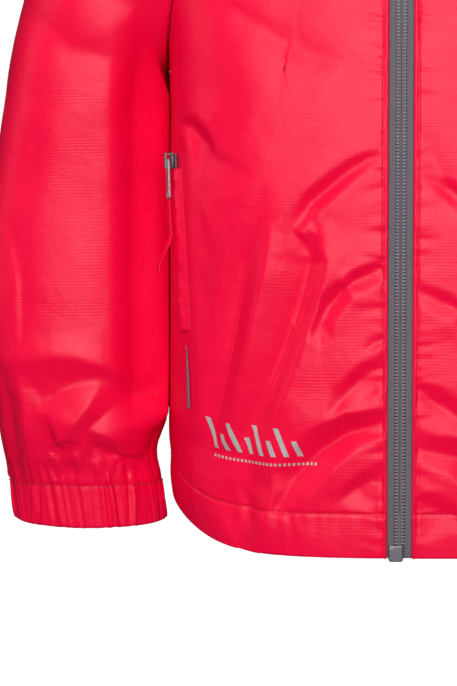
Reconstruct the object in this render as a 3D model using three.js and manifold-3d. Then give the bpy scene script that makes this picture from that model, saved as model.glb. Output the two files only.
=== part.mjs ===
// A child's zipped rain jacket, about age 3 to 4, hollow and in its worn shape.
// Millimetres. +Z is up, the front faces -Y and the wearer's right is at -X.
// The origin is at the middle of the neck, level with the inner ends of the shoulder seams.
// In the tables, heights are measured up from the lowest point of the hem.
import * as THREE from "three";
import { mergeVertices } from "three/addons/utils/BufferGeometryUtils.js";
import Module from "manifold-3d";

const wasm = await Module();
wasm.setup();

const DEG = Math.PI / 180;
const FRONT = -1;
const BACK = 1;
const RIGHT = -1;
const LEFT = 1;

// Driving sizes of the cut
const cloth = { wall: 1.4, seamGap: 0.3, hemDepth: 24, hemExtra: 0.7 };
const shoulder = { neckX: 54, neckHeight: 430, tipX: 140, tipHeight: 395, rounding: 55, fullness: 2.2 };
const armhole = { bottom: 262, cut: 0.1, cutRise: 0.35, cutCurve: 1.4 };
const neck = { frontDrop: 60, backDrop: 10, roundness: 2.6 };
const hem = { sideRise: 24, sharpness: 7 };
const collar = { height: 44, sideDip: 12, wall: 1.6, leanIn: 4, bulge: 1.5 };
const zip = { halfGap: 6.5, tapeReach: 14, tapeWall: 0.8, middleGap: 0.4, coilHalf: 3.1, coilWall: 1.9 };
const cuff = { top: 31.2, bottom: 10, gathers: 38, gatherDepth: 1.5, wall: 1.4 };
const pocket = { topShare: 0.958, topHeight: 214, endShare: 0.918, endHeight: 118 };
const pocketOpening = { zipWidth: 4.4, lipWidth: 7 };
const stripe = { from: 1.07, to: 1.43, forward: 3.6, topWidth: 1.4, endWidth: 2.6, wall: 1 };

// The torso: half width, depth in front of and behind the side seams, and how square the section is
const torso = [
  { height: 0, halfWidth: 122.5, front: 91, back: 80, square: 2.6 },
  { height: 30, halfWidth: 127, front: 93, back: 81, square: 2.65 },
  { height: 62, halfWidth: 128.6, front: 94, back: 82, square: 2.75 },
  { height: 100, halfWidth: 127.6, front: 95, back: 81, square: 3.0 },
  { height: 180, halfWidth: 126.8, front: 95, back: 81, square: 3.6 },
  { height: 262, halfWidth: 127, front: 92, back: 85, square: 3.7 },
  { height: 310, halfWidth: 134, front: 87, back: 86, square: 3.4 },
  { height: 345, halfWidth: 142, front: 78, back: 83, square: 3.2 },
  { height: 368, halfWidth: 148, front: 68, back: 76, square: 3.1 },
  { height: 400, halfWidth: 157, front: 53, back: 59, square: 3.0 },
  { height: 432, halfWidth: 166, front: 36, back: 40, square: 3.0 },
];

// The sleeve in front view: the side that faces the body and the outer side, then front to back
const sleeve = [
  { innerX: 129.2, innerHeight: 257, outerX: 170, outerHeight: 379, midY: 0, halfY: 62, square: 2.2 },
  { innerX: 129.4, innerHeight: 248, outerX: 197, outerHeight: 334, midY: -3, halfY: 57, square: 2.2 },
  { innerX: 129.4, innerHeight: 236, outerX: 212, outerHeight: 280, midY: -6, halfY: 52, square: 2.2 },
  { innerX: 129.2, innerHeight: 213, outerX: 219.5, outerHeight: 231, midY: -9, halfY: 48, square: 2.2 },
  { innerX: 129.2, innerHeight: 178, outerX: 226, outerHeight: 186, midY: -11, halfY: 45, square: 2.2 },
  { innerX: 129.2, innerHeight: 138, outerX: 228.5, outerHeight: 142, midY: -13, halfY: 43, square: 2.2 },
  { innerX: 129.2, innerHeight: 103, outerX: 227.5, outerHeight: 104, midY: -14, halfY: 42, square: 2.2 },
  { innerX: 130.4, innerHeight: 67, outerX: 223.5, outerHeight: 68, midY: -15, halfY: 40, square: 2.1 },
  { innerX: 134.6, innerHeight: 49, outerX: 220.5, outerHeight: 49, midY: -15, halfY: 35, square: 2 },
  { innerX: 132.6, innerHeight: 32, outerX: 216, outerHeight: 32, midY: -15, halfY: 29, square: 1.9 },
  { innerX: 130.6, innerHeight: 10, outerX: 213, outerHeight: 10, midY: -15, halfY: 27, square: 1.85 },
];
const lastSleeveRow = 9;

// The largest folds of the fronts, as seen from the front: middle, slope of the line, reach and depth
const frontFolds = {
  [RIGHT]: [
    { x: -54, height: 148, lean: 66, halfLength: 46, halfWidth: 8, depth: -4.2 },
    { x: -80, height: 128, lean: 76, halfLength: 44, halfWidth: 7, depth: -3.2 },
    { x: -67, height: 140, lean: 72, halfLength: 42, halfWidth: 8, depth: 2.6 },
    { x: -38, height: 62, lean: 34, halfLength: 34, halfWidth: 9, depth: -4.0 },
    { x: -33, height: 128, lean: 46, halfLength: 38, halfWidth: 9, depth: -2.4 },
    { x: -40, height: 205, lean: 50, halfLength: 36, halfWidth: 8, depth: -2.6 },
  ],
  [LEFT]: [
    { x: 36, height: 140, lean: -46, halfLength: 40, halfWidth: 9, depth: -4.0 },
    { x: 44, height: 44, lean: -20, halfLength: 34, halfWidth: 8, depth: -3.2 },
    { x: 66, height: 120, lean: -70, halfLength: 44, halfWidth: 9, depth: -3.6 },
    { x: 84, height: 160, lean: -78, halfLength: 46, halfWidth: 8, depth: -2.8 },
    { x: 50, height: 212, lean: -52, halfLength: 38, halfWidth: 9, depth: -2.8 },
  ],
};
const backFolds = [
  { x: -62, height: 110, lean: 72, halfLength: 60, halfWidth: 10, depth: -4.0 },
  { x: 58, height: 128, lean: -68, halfLength: 56, halfWidth: 10, depth: -4.0 },
  { x: -22, height: 88, lean: 82, halfLength: 48, halfWidth: 11, depth: -2.6 },
  { x: 14, height: 186, lean: -84, halfLength: 50, halfWidth: 12, depth: -2.4 },
  { x: -70, height: 236, lean: -40, halfLength: 36, halfWidth: 10, depth: -3.0 },
  { x: 72, height: 232, lean: 42, halfLength: 36, halfWidth: 10, depth: -3.0 },
];

// The largest folds of a sleeve: place round it in degrees from its outer side through the front
const sleeveFolds = [
  { around: 86, height: 96, lean: -8, halfLength: 34, halfWidth: 9, depth: 3.4 },
  { around: 78, height: 78, lean: 10, halfLength: 26, halfWidth: 6, depth: -4.2 },
  { around: 116, height: 68, lean: 48, halfLength: 20, halfWidth: 6, depth: -3.4 },
  { around: 60, height: 64, lean: 62, halfLength: 20, halfWidth: 6, depth: 3.0 },
  { around: 30, height: 76, lean: 84, halfLength: 26, halfWidth: 7, depth: -3.4 },
  { around: 318, height: 92, lean: -30, halfLength: 30, halfWidth: 8, depth: -3.6 },
  { around: 262, height: 84, lean: 12, halfLength: 30, halfWidth: 8, depth: -3.6 },
  { around: 270, height: 224, lean: 28, halfLength: 34, halfWidth: 9, depth: -3.4 },
  { around: 70, height: 262, lean: -36, halfLength: 36, halfWidth: 10, depth: -3.0 },
  { around: 282, height: 282, lean: 40, halfLength: 30, halfWidth: 9, depth: -2.8 },
];

// How finely the solids are cut
const cells = {
  neckColumns: 5, sideColumns: 9, bodyRows: 12, armholeRows: 10,
  backNeckColumns: 10, backSideColumns: 8, sleeveAround: 40, sleeveRows: 14, gatherPoints: 152,
  collarRows: 3, zipRows: 24, pocketRows: 10,
};

const clamp01 = (t) => Math.min(1, Math.max(0, t));
const mix = (a, b, t) => a + (b - a) * t;
const smooth = (t) => clamp01(t) ** 2 * (3 - 2 * clamp01(t));
const spread = (count, from, to) => Array.from({ length: count + 1 }, (_, i) => mix(from, to, i / count));

// A smooth curve through a table's rows: the value of one column where another reads `at`
function read(table, key, column, at) {
  const last = table.length - 1;
  const down = table[last][key] < table[0][key];
  let i = table.findIndex((row) => (down ? row[key] <= at : row[key] >= at)) - 1;
  i = i < -1 ? last - 1 : Math.max(0, i);
  const slope = (j) => {
    const a = table[Math.max(0, j - 1)];
    const b = table[Math.min(last, j + 1)];
    return (b[column] - a[column]) / (b[key] - a[key]);
  };
  const a = table[i];
  const b = table[i + 1];
  const step = b[key] - a[key];
  const t = clamp01((at - a[key]) / step);
  const rise = slope(i) * step * t * (1 - t) ** 2 - slope(i + 1) * step * t * t * (1 - t);
  return mix(a[column], b[column], smooth(t)) + rise;
}
const torsoAt = (column, height) => read(torso, "height", column, height);

// The height of the shoulder line over a point at x, carried on inwards over the neck
function shoulderLine(x) {
  const fall = (shoulder.neckHeight - shoulder.tipHeight) / (shoulder.tipX - shoulder.neckX);
  return shoulder.neckHeight - (Math.abs(x) - shoulder.neckX) * fall;
}

// The upper edge of a front or back panel at x: neckline, then shoulder seam
function topEdge(face, x) {
  const drop = face === FRONT ? neck.frontDrop : neck.backDrop;
  const share = Math.abs(x) / shoulder.neckX;
  return share < 1 ? shoulder.neckHeight - drop * (1 - share ** neck.roundness) : shoulderLine(x);
}

// How far towards the side a panel reaches at a height, as a share of the half width
function edgeShare(height) {
  const t = clamp01((height - armhole.bottom) / (shoulder.tipHeight - armhole.bottom));
  return 1 - armhole.cut * Math.min(1, t / armhole.cutRise) ** armhole.cutCurve;
}

const hemLine = (share) => hem.sideRise * Math.abs(share) ** hem.sharpness;

// The plain surface of the torso at x and height, front or back
function torsoSurface(face, x, height) {
  const square = torsoAt("square", height);
  const share = clamp01(Math.abs(x) / torsoAt("halfWidth", height));
  const across = (1 - share ** square) ** (1 / square);
  const below = clamp01((shoulderLine(x) - height) / shoulder.rounding);
  const over = (1 - (1 - below) ** shoulder.fullness) ** (1 / shoulder.fullness);
  const depth = torsoAt(face === FRONT ? "front" : "back", height);
  return new THREE.Vector3(x, face * depth * across * over, height);
}

// x for a column of a panel at a height: equal steps of angle round the squared oval
function columnX(start, u, height) {
  const square = torsoAt("square", height);
  const halfWidth = torsoAt("halfWidth", height);
  const from = Math.asin((start / halfWidth) ** (square / 2));
  const to = Math.asin(edgeShare(height) ** (square / 2));
  return halfWidth * Math.sin(mix(from, to, u)) ** (2 / square);
}

// A point of half a panel: u runs from the middle to the side, v from the hem to the top
function halfPanelPoint(face, start, u, v) {
  let low = armhole.bottom - 60;
  let high = shoulder.neckHeight + 2;
  for (let i = 0; i < 40; i++) {
    const mid = (low + high) / 2;
    if (mid < topEdge(face, columnX(start, u, mid))) low = mid;
    else high = mid;
  }
  const top = (low + high) / 2;
  const bottom = hemLine(columnX(start, u, hem.sideRise / 2) / torsoAt("halfWidth", hem.sideRise / 2));
  const height = mix(bottom, top, v);
  return torsoSurface(face, columnX(start, u, height), height);
}

// A soft trough (negative depth) or ridge along a straight line, fading out at its ends
function foldDepth(fold, across, up) {
  const along = across * Math.cos(fold.lean * DEG) + up * Math.sin(fold.lean * DEG);
  const beside = -across * Math.sin(fold.lean * DEG) + up * Math.cos(fold.lean * DEG);
  const fade = 1 - smooth(Math.abs(along) / (fold.halfLength * 1.25));
  return fold.depth * fade * Math.exp(-((beside / fold.halfWidth) ** 2));
}

function torsoFolds(folds, p) {
  const fromZip = smooth((Math.abs(p.x) - 15) / 14);
  const fromSide = smooth((1 - Math.abs(p.x) / torsoAt("halfWidth", p.z)) / 0.1);
  const fromTop = smooth((topEdge(p.y < 0 ? FRONT : BACK, p.x) - p.z) / 50);
  const fade = (folds === backFolds ? 1 : fromZip) * fromSide * fromTop;
  return fade * folds.reduce((sum, fold) => sum + foldDepth(fold, p.x - fold.x, p.z - fold.height), 0);
}

// The direction a surface faces at (u, v), away from the inside of the garment
function facing(surface, u, v, centre) {
  const step = 1e-4;
  const u0 = Math.max(0, u - step);
  const v0 = Math.max(0, v - step);
  const du = surface(Math.min(1, u + step), v).sub(surface(u0, v));
  const dv = surface(u, Math.min(1, v + step)).sub(surface(u, v0));
  const normal = du.cross(dv).normalize();
  return normal.dot(surface(u, v).sub(centre)) < 0 ? normal.negate() : normal;
}

// Triangles between two rows of corner numbers; the rows may differ in length
function stitch(faces, rowA, rowB, flip) {
  let a = 0;
  let b = 0;
  while (a < rowA.length - 1 || b < rowB.length - 1) {
    const nextA = (a + 1) / (rowA.length - 1);
    const nextB = (b + 1) / (rowB.length - 1);
    const stepA = b === rowB.length - 1 || (a < rowA.length - 1 && nextA <= nextB);
    const tri = stepA ? [rowA[a], rowA[++a], rowB[b]] : [rowA[a], rowB[b + 1], rowB[b++]];
    faces.push(...(flip ? tri.reverse() : tri));
  }
}

// A closed wall between outer and inner rows of points. Rings close on themselves; sheets get side edges.
function wall(outer, inner, isRing) {
  const points = [];
  const faces = [];
  const number = (rows) => rows.map((row) => {
    const ids = row.map((p) => points.push(p) - 1);
    return isRing ? [...ids, ids[0]] : ids;
  });
  const out = number(outer);
  const inn = number(inner);
  for (let i = 0; i + 1 < out.length; i++) stitch(faces, out[i], out[i + 1], false);
  for (let i = 0; i + 1 < inn.length; i++) stitch(faces, inn[i], inn[i + 1], true);
  stitch(faces, inn[0], out[0], false);
  stitch(faces, out.at(-1), inn.at(-1), false);
  if (!isRing) {
    stitch(faces, out.map((row) => row[0]), inn.map((row) => row[0]), false);
    stitch(faces, inn.map((row) => row.at(-1)), out.map((row) => row.at(-1)), false);
  }
  const geometry = new THREE.BufferGeometry();
  const numbers = points.flatMap((p) => [p.x, p.y, p.z]);
  geometry.setAttribute("position", new THREE.Float32BufferAttribute(numbers, 3));
  geometry.setIndex(faces);
  return faceOut(geometry);
}

// The same closed geometry, turned round if its faces point inwards
function faceOut(geometry) {
  const p = geometry.attributes.position;
  const index = geometry.index.array;
  const corner = (i) => new THREE.Vector3().fromBufferAttribute(p, index[i]);
  let volume = 0;
  for (let i = 0; i < index.length; i += 3) volume += corner(i).dot(corner(i + 1).cross(corner(i + 2)));
  if (volume < 0) geometry.setIndex(Array.from(index).reverse());
  geometry.computeVertexNormals();
  return geometry;
}

const toSolid = (geometry) => {
  const bare = geometry.clone();
  bare.deleteAttribute("normal");
  bare.deleteAttribute("uv");
  const merged = mergeVertices(bare, 1e-4);
  const triVerts = new Uint32Array(merged.index.array);
  const vertProperties = merged.attributes.position.array;
  return new wasm.Manifold(new wasm.Mesh({ numProp: 3, vertProperties, triVerts }));
};
function toGeometry(solid) {
  const mesh = solid.getMesh();
  const geometry = new THREE.BufferGeometry();
  geometry.setAttribute("position", new THREE.Float32BufferAttribute(mesh.vertProperties, 3));
  geometry.setIndex(Array.from(mesh.triVerts));
  geometry.computeVertexNormals();
  return geometry;
}
const joined = (...parts) => toGeometry(parts.map(toSolid).reduce((a, b) => a.add(b)));
const cut = (part, ...tools) =>
  toGeometry(tools.map(toSolid).reduce((a, b) => a.subtract(b), toSolid(part)));

// Fronts and back

// A surface made of one panel: its plain points, moved out along its own facing by its folds
function dressed(plain, folds, centre) {
  return (u, v) => {
    const p = plain(u, v);
    return p.clone().addScaledVector(facing(plain, u, v, centre(p)), torsoFolds(folds, p));
  };
}
const torsoCentre = (p) => new THREE.Vector3(p.x * 0.5, 0, Math.min(p.z, 330));

function sheetWall(plain, surface, columns, rows, centre) {
  const outer = rows.map((v) => columns.map((u) => surface(u, v)));
  const inner = rows.map((v, i) => columns.map((u, j) => {
    const p = outer[i][j];
    const turned = 1 - smooth((p.z - hemLine(p.x / torsoAt("halfWidth", 0)) - cloth.hemDepth) / 3);
    const thick = cloth.wall + cloth.hemExtra * turned;
    return p.clone().addScaledVector(facing(plain, u, v, centre(plain(u, v))), -thick);
  }));
  return wall(outer, inner, false);
}

// Rows up a panel: even over the body, then equal steps of angle round the armhole
function panelRows() {
  const foot = (armhole.bottom - hem.sideRise) / (shoulder.tipHeight - hem.sideRise);
  const hemTop = cloth.hemDepth / armhole.bottom * foot;
  const body = spread(cells.bodyRows, hemTop, foot);
  const upper = spread(cells.armholeRows, 0, 1)
    .slice(1)
    .map((t) => mix(foot, 1, 0.5 - 0.5 * Math.cos(t * Math.PI)));
  return [0, ...body, ...upper];
}

const half = cloth.seamGap / 2;
const frontPlain = (side) => (u, v) => {
  const p = halfPanelPoint(FRONT, zip.halfGap, u, v);
  return new THREE.Vector3(side * p.x, p.y - half, p.z);
};
const frontSurface = (side) => dressed(frontPlain(side), frontFolds[side], torsoCentre);

// The column that meets the inner end of the shoulder seam
function neckColumn(start) {
  const square = torsoAt("square", shoulder.neckHeight);
  const halfWidth = torsoAt("halfWidth", shoulder.neckHeight);
  const angle = (x) => Math.asin((x / halfWidth) ** (square / 2));
  const to = Math.asin(edgeShare(shoulder.neckHeight) ** (square / 2));
  return (angle(shoulder.neckX) - angle(start)) / (to - angle(start));
}

function frontPanel(side) {
  const atNeck = neckColumn(zip.halfGap);
  const sideColumns = spread(cells.sideColumns, atNeck, 1).slice(1);
  const columns = [...spread(cells.neckColumns, 0, atNeck), ...sideColumns];
  return sheetWall(frontPlain(side), frontSurface(side), columns, panelRows(), torsoCentre);
}

// The back runs from the right side seam (u = 0) to the left one (u = 1)
const backStart = 0.01;
const backPlain = (u, v) => {
  const side = u < 0.5 ? RIGHT : LEFT;
  const p = halfPanelPoint(BACK, backStart, Math.abs(u - 0.5) * 2, v);
  return new THREE.Vector3(side * p.x, p.y + half, p.z);
};
const backSurface = dressed(backPlain, backFolds, torsoCentre);

function backPanel() {
  const atNeck = neckColumn(backStart) / 2;
  const columns = [
    ...spread(cells.backSideColumns, 0, 0.5 - atNeck),
    ...spread(cells.backNeckColumns, 0.5 - atNeck, 0.5 + atNeck).slice(1),
    ...spread(cells.backSideColumns, 0.5 + atNeck, 1).slice(1),
  ];
  return sheetWall(backPlain, backSurface, columns, panelRows(), torsoCentre);
}

// Sleeves and cuffs

// The armhole seam at an angle from the shoulder tip through the front to the underarm
function armholePoint(angle) {
  const middle = (shoulder.tipHeight + armhole.bottom) / 2;
  const height = middle + (shoulder.tipHeight - middle) * Math.cos(angle);
  const face = Math.sin(angle) > 0 ? FRONT : BACK;
  return torsoSurface(face, torsoAt("halfWidth", height) * edgeShare(height), height);
}

// One oval section of the sleeve. row counts along the table and may lie between two rows.
function sleeveSection(row, angle) {
  const numbered = sleeve.map((entry, i) => ({ ...entry, row: i }));
  const at = (column) => read(numbered, "row", column, row);
  const power = 2 / at("square");
  const round = (t) => Math.sign(t) * Math.abs(t) ** power;
  const outwards = round(Math.cos(angle));
  const x = mix(at("innerX"), at("outerX"), (1 + outwards) / 2);
  const height = mix(at("innerHeight"), at("outerHeight"), (1 + outwards) / 2);
  return new THREE.Vector3(x, at("midY") - at("halfY") * round(Math.sin(angle)), height);
}

// The plain sleeve, u round it and v down it
function sleevePlain(u, v) {
  const angle = u * 2 * Math.PI;
  const firstShare = 0.12;
  if (v < firstShare) {
    const start = armholePoint(angle).add(new THREE.Vector3(cloth.seamGap, 0, 0));
    const next = sleeveSection(0, angle);
    const t = v / firstShare;
    const bow = Math.sin(t * Math.PI) * 2.5 * Math.max(0, Math.cos(angle));
    return start.lerp(next, t).add(new THREE.Vector3(bow, 0, bow));
  }
  return sleeveSection(((v - firstShare) / (1 - firstShare)) * lastSleeveRow, angle);
}

function sleeveFoldDepth(u, p, v) {
  const degrees = u * 360;
  const inwardSide = smooth(Math.abs(degrees - 180) / 45 - 0.35);
  const fromEnds = smooth(v / 0.2) * smooth((1 - v) / 0.05);
  const depth = sleeveFolds.reduce((sum, fold) => {
    const turn = ((degrees - fold.around + 540) % 360) - 180;
    return sum + foldDepth(fold, turn * DEG * 44, p.z - fold.height);
  }, 0);
  return depth * inwardSide * fromEnds;
}
const sleeveCentre = (v) => {
  const a = sleevePlain(0, v);
  return a.add(sleevePlain(0.5, v)).multiplyScalar(0.5);
};
function sleeveFacing(u, v) {
  const step = 1e-4;
  const du = sleevePlain((u + step) % 1, v).sub(sleevePlain((u - step + 1) % 1, v));
  const dv = sleevePlain(u, Math.min(1, v + step)).sub(sleevePlain(u, Math.max(0, v - step)));
  const normal = du.cross(dv).normalize();
  return normal.dot(sleevePlain(u, v).sub(sleeveCentre(v))) < 0 ? normal.negate() : normal;
}

// Elastic gathers: an uneven wave round the cuff, from 0 in its grooves to 1 on its crests
function gather(u) {
  const drift = 0.22 * Math.sin(u * 2 * Math.PI * 5) + 0.16 * Math.sin(u * 2 * Math.PI * 9 + 1);
  return 0.5 + 0.5 * Math.cos(u * cuff.gathers * 2 * Math.PI + drift * 2);
}

const ringShares = (count) => Array.from({ length: count }, (_, i) => i / count);
const mirrored = (side, p) => new THREE.Vector3(side * p.x, p.y, p.z);

function sleeveTube(side) {
  const rows = spread(cells.sleeveRows, 0, 1).map((t) => t ** 0.94);
  const gathered = [0.965, 1];
  const plainRows = [...rows.filter((v) => v < 0.95), 0.95];
  const outerPoint = (u, v) => {
    const p = sleevePlain(u, v);
    const crest = smooth((v - 0.93) / 0.06) * cuff.gatherDepth * gather(u);
    return p.addScaledVector(sleeveFacing(u, v), sleeveFoldDepth(u, p, v) + crest);
  };
  const innerPoint = (u, v) => {
    const p = sleevePlain(u, v);
    return p.addScaledVector(sleeveFacing(u, v), sleeveFoldDepth(u, p, v) - cloth.wall);
  };
  const ring = (v, count, point) => ringShares(count).map((u) => mirrored(side, point(u, v)));
  const around = (v) => (v === 0 ? cells.armholeRows * 2 : cells.sleeveAround);
  const outer = [
    ...plainRows.map((v) => ring(v, around(v), outerPoint)),
    ...gathered.map((v) => ring(v, cells.gatherPoints, outerPoint)),
  ];
  const inner = [...plainRows, ...gathered].map((v) => ring(v, around(v), innerPoint));
  return wall(outer, inner, true);
}

function cuffTube(side) {
  const seam = sleeve[lastSleeveRow].innerHeight;
  const row = (height) => lastSleeveRow + (seam - height) / (seam - cuff.bottom);
  const rows = spread(2, cuff.top, cuff.bottom);
  const point = (u, height, out) => {
    const p = sleeveSection(row(height), u * 2 * Math.PI);
    const across = sleeveSection(row(height), 0).add(sleeveSection(row(height), Math.PI));
    const middle = across.multiplyScalar(0.5);
    const away = p.clone().sub(middle).setZ(0).normalize();
    return p.addScaledVector(away, out);
  };
  const crestAt = (u, height) => {
    const swell = 0.75 + 0.25 * Math.cos((height - cuff.bottom - 12) / 8);
    return cuff.gatherDepth * gather(u) * swell;
  };
  const ring = (height, count, out) =>
    ringShares(count).map((u) => mirrored(side, point(u, height, out(u, height))));
  const outer = rows.map((h) => ring(h, cells.gatherPoints, crestAt));
  const inner = rows.map((h) => ring(h, cells.sleeveAround, () => -cuff.wall));
  return wall(outer, inner, true);
}

// Collar

// The neckline at x, moved into the neck by the gap of the seam
function neckPoint(face, x) {
  const drop = face === FRONT ? neck.frontDrop : neck.backDrop;
  const share = Math.abs(x) / shoulder.neckX;
  const slope = (drop * neck.roundness * share ** (neck.roundness - 1)) / shoulder.neckX;
  const inwards = new THREE.Vector3(-Math.sign(x) * slope, 0, 1).normalize();
  return torsoSurface(face, x, topEdge(face, x)).addScaledVector(inwards, cloth.seamGap);
}

// A point of the collar over x of the neckline, as a share of its height, moved in by inset
function collarPoint(face, x, rise, inset) {
  const foot = neckPoint(face, x);
  const away = new THREE.Vector3(foot.x * 1.05, foot.y + 9, 0).normalize();
  const lean = -collar.leanIn * rise + collar.bulge * Math.sin(rise * Math.PI);
  const height = collar.height - collar.sideDip * (Math.abs(x) / shoulder.neckX) ** 3;
  return foot.addScaledVector(away, lean - inset).add(new THREE.Vector3(0, 0, height * rise));
}

// The collar has the columns of the panels below it, from the right edge of the zip round the back
function collarBand() {
  const neckX = (face, start, shares) => shares.map((u) => halfPanelPoint(face, start, u, 1).x);
  const front = neckX(FRONT, zip.halfGap, spread(cells.neckColumns, 0, neckColumn(zip.halfGap)));
  const back = neckX(BACK, backStart, spread(cells.backNeckColumns / 2, 0, neckColumn(backStart)));
  const seats = [
    ...front.map((x) => [FRONT, -x]),
    ...back.slice(1, -1).toReversed().map((x) => [BACK, -x]),
    [BACK, 0],
    ...back.slice(1, -1).map((x) => [BACK, x]),
    ...front.toReversed().map((x) => [FRONT, x]),
  ];
  const rises = spread(cells.collarRows, 0, 1);
  const band = (inset) => rises.map((rise) => seats.map(([face, x]) => collarPoint(face, x, rise, inset)));
  return wall(band(0), band(collar.wall), false);
}

// Front zip

// The direction the torso faces at x and height
function torsoFacing(face, x, height) {
  const e = 1e-3;
  const across = torsoSurface(face, x + e, height).sub(torsoSurface(face, x - e, height));
  const up = torsoSurface(face, x, height + e).sub(torsoSurface(face, x, height - e));
  const normal = across.cross(up).normalize();
  return normal.y * face < 0 ? normal.negate() : normal;
}

// A line up beside the middle of the front, hem to collar top, at x and a depth behind the cloth's face
const frontSteps = [
  ...spread(cells.zipRows, 0, topEdge(FRONT, zip.halfGap) - 3).map((height) => ({ height })),
  ...[0.06, 0.3, 0.55, 0.8, 1].map((rise) => ({ rise })),
];
function frontPoint(step, x, depth) {
  const seat = Math.max(zip.halfGap, Math.abs(x));
  const p = step.rise === undefined
    ? torsoSurface(FRONT, seat, step.height).addScaledVector(torsoFacing(FRONT, seat, step.height), -depth)
    : collarPoint(FRONT, seat, step.rise, depth);
  return p.setX(x);
}
const frontLine = (x, depth) => frontSteps.map((step) => frontPoint(step, x, depth));

// A strip up the front between two depths
function strip(xs, depth, thick) {
  const lay = (d) => frontSteps.map((step) => xs.map((x) => frontPoint(step, x, d)));
  return wall(lay(depth), lay(depth + thick), false);
}

const behind = { tape: 2.9, coil: 2.9 + zip.tapeWall + 0.3 };
const boxSize = { aside: -1.9, width: 7.8, depth: 4.6, height: 9, rise: 1.6 };
const sliderSize = { width: 8.6, height: 10.5, plate: 1.6, neck: 2.4 };

const block = (w, d, h, x, y, z) => new THREE.BoxGeometry(w, d, h).translate(x, y, z);

// The place and turn of the front edge at a height: x across, y into the jacket, z up along it
function frontPlace(height) {
  const line = frontLine(0, 0);
  const i = Math.max(1, line.findIndex((p) => p.z >= height));
  const a = line[i - 1];
  const b = line[i];
  const t = clamp01((height - a.z) / (b.z - a.z));
  return { at: a.clone().lerp(b, t), lean: Math.atan2(b.y - a.y, b.z - a.z) };
}
const collarTop = collarPoint(FRONT, zip.halfGap, 1, 0).z;
const topPlace = frontPlace(collarTop - 9);
const footPlace = frontPlace(4);

function placed(geometry, place) {
  return geometry.rotateX(-place.lean).translate(place.at.x, place.at.y, place.at.z);
}

function retainerBox(grow) {
  const more = grow * 2;
  const body = block(boxSize.width + more, boxSize.depth + more, boxSize.height + more, 0, 0, 0);
  return placed(body.translate(boxSize.aside, behind.tape + 0.9, -boxSize.rise), footPlace);
}
// The retainer: a box with bevelled edges and the end of the pin beside it
function zipBox() {
  const outline = new THREE.Shape();
  const w = boxSize.width / 2;
  const h = boxSize.height / 2;
  const b = 0.9;
  outline.moveTo(-w + b, -h).lineTo(w - b, -h).lineTo(w, -h + b);
  outline.lineTo(w, h).lineTo(-w, h).lineTo(-w, -h + b);
  outline.closePath();
  const bevel = { bevelThickness: 0.5, bevelSize: 0.4, bevelOffset: -0.4, bevelSegments: 1 };
  const body = new THREE.ExtrudeGeometry(outline, { depth: boxSize.depth - 1, ...bevel });
  body.translate(0, 0, -(boxSize.depth - 1) / 2).rotateX(Math.PI / 2);
  return placed(body.translate(boxSize.aside, behind.tape + 0.9, -boxSize.rise), footPlace);
}

function zipTape(side) {
  const xs = [zip.middleGap, zip.halfGap, 10, zip.tapeReach].map((x) => side * x);
  const tape = strip(xs, behind.tape, zip.tapeWall);
  const throat = placed(block(sliderSize.neck + 0.8, 6, 26, 0, behind.tape, 10), topPlace);
  return cut(tape, retainerBox(0.3), throat);
}

function zipCoil() {
  const coil = strip([-zip.coilHalf, 0, zip.coilHalf], behind.coil, zip.coilWall);
  const clear = placed(block(20, 20, 60, 0, 5, 30 - sliderSize.height / 2 - 0.6), topPlace);
  return cut(coil, retainerBox(0.35), clear);
}

// A slider in its own place: x across, -y out of the cloth, z up along the zip.
// Its plate's back is at y = 0.
const bridge = { width: 1.7, rise: 3.3, halfLength: 3.9, bar: 0.9, axisRise: 1.35 };
function sliderFace(width, height, plate) {
  const outline = new THREE.Shape();
  const w = width / 2;
  const h = height / 2;
  outline.moveTo(-w * 0.62, -h).lineTo(w * 0.62, -h).lineTo(w, -h * 0.25);
  outline.lineTo(w, h * 0.55).lineTo(w * 0.55, h);
  outline.lineTo(-w * 0.55, h).lineTo(-w, h * 0.55).lineTo(-w, -h * 0.25).closePath();
  const bevel = { bevelThickness: 0.35, bevelSize: 0.35, bevelOffset: -0.35, bevelSegments: 1 };
  const face = new THREE.ExtrudeGeometry(outline, { depth: plate - 0.7, ...bevel });
  return face.translate(0, 0, 0.35).rotateX(Math.PI / 2);
}
function sliderBridge(plate) {
  const foot = (z) => block(bridge.width, bridge.rise, bridge.bar, 0, -plate - bridge.rise / 2 + 0.2, z);
  const over = block(bridge.width, bridge.bar, bridge.halfLength * 2, 0, -plate - bridge.rise + 0.65, 0);
  const z = bridge.halfLength - bridge.bar / 2;
  return [foot(z), foot(-z), over];
}

// The pull tab hangs from a crossbar under the bridge. Its axis is its own x axis.
function pullTab(length, width, eye) {
  const w = width / 2;
  const outline = new THREE.Shape();
  outline.moveTo(-w * 0.8, 0.75).lineTo(w * 0.8, 0.75).lineTo(w, -0.4).lineTo(w, -length + 1.2);
  outline.lineTo(w * 0.7, -length).lineTo(-w * 0.7, -length);
  outline.lineTo(-w, -length + 1.2).lineTo(-w, -0.4).closePath();
  const hole = new THREE.Path();
  const e = bridge.width / 2 + 0.45;
  hole.moveTo(-e, -0.65).lineTo(-e, -eye).lineTo(e, -eye).lineTo(e, -0.65).closePath();
  outline.holes.push(hole);
  const tip = new THREE.Path();
  const t = w * 0.5;
  tip.moveTo(-t, -length + 4).lineTo(-t, -length + 1.6);
  tip.lineTo(t, -length + 1.6).lineTo(t, -length + 4).closePath();
  outline.holes.push(tip);
  const body = new THREE.ExtrudeGeometry(outline, { depth: 1.1, bevelEnabled: false });
  return body.translate(0, 0, -0.55).rotateX(Math.PI / 2);
}

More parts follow.
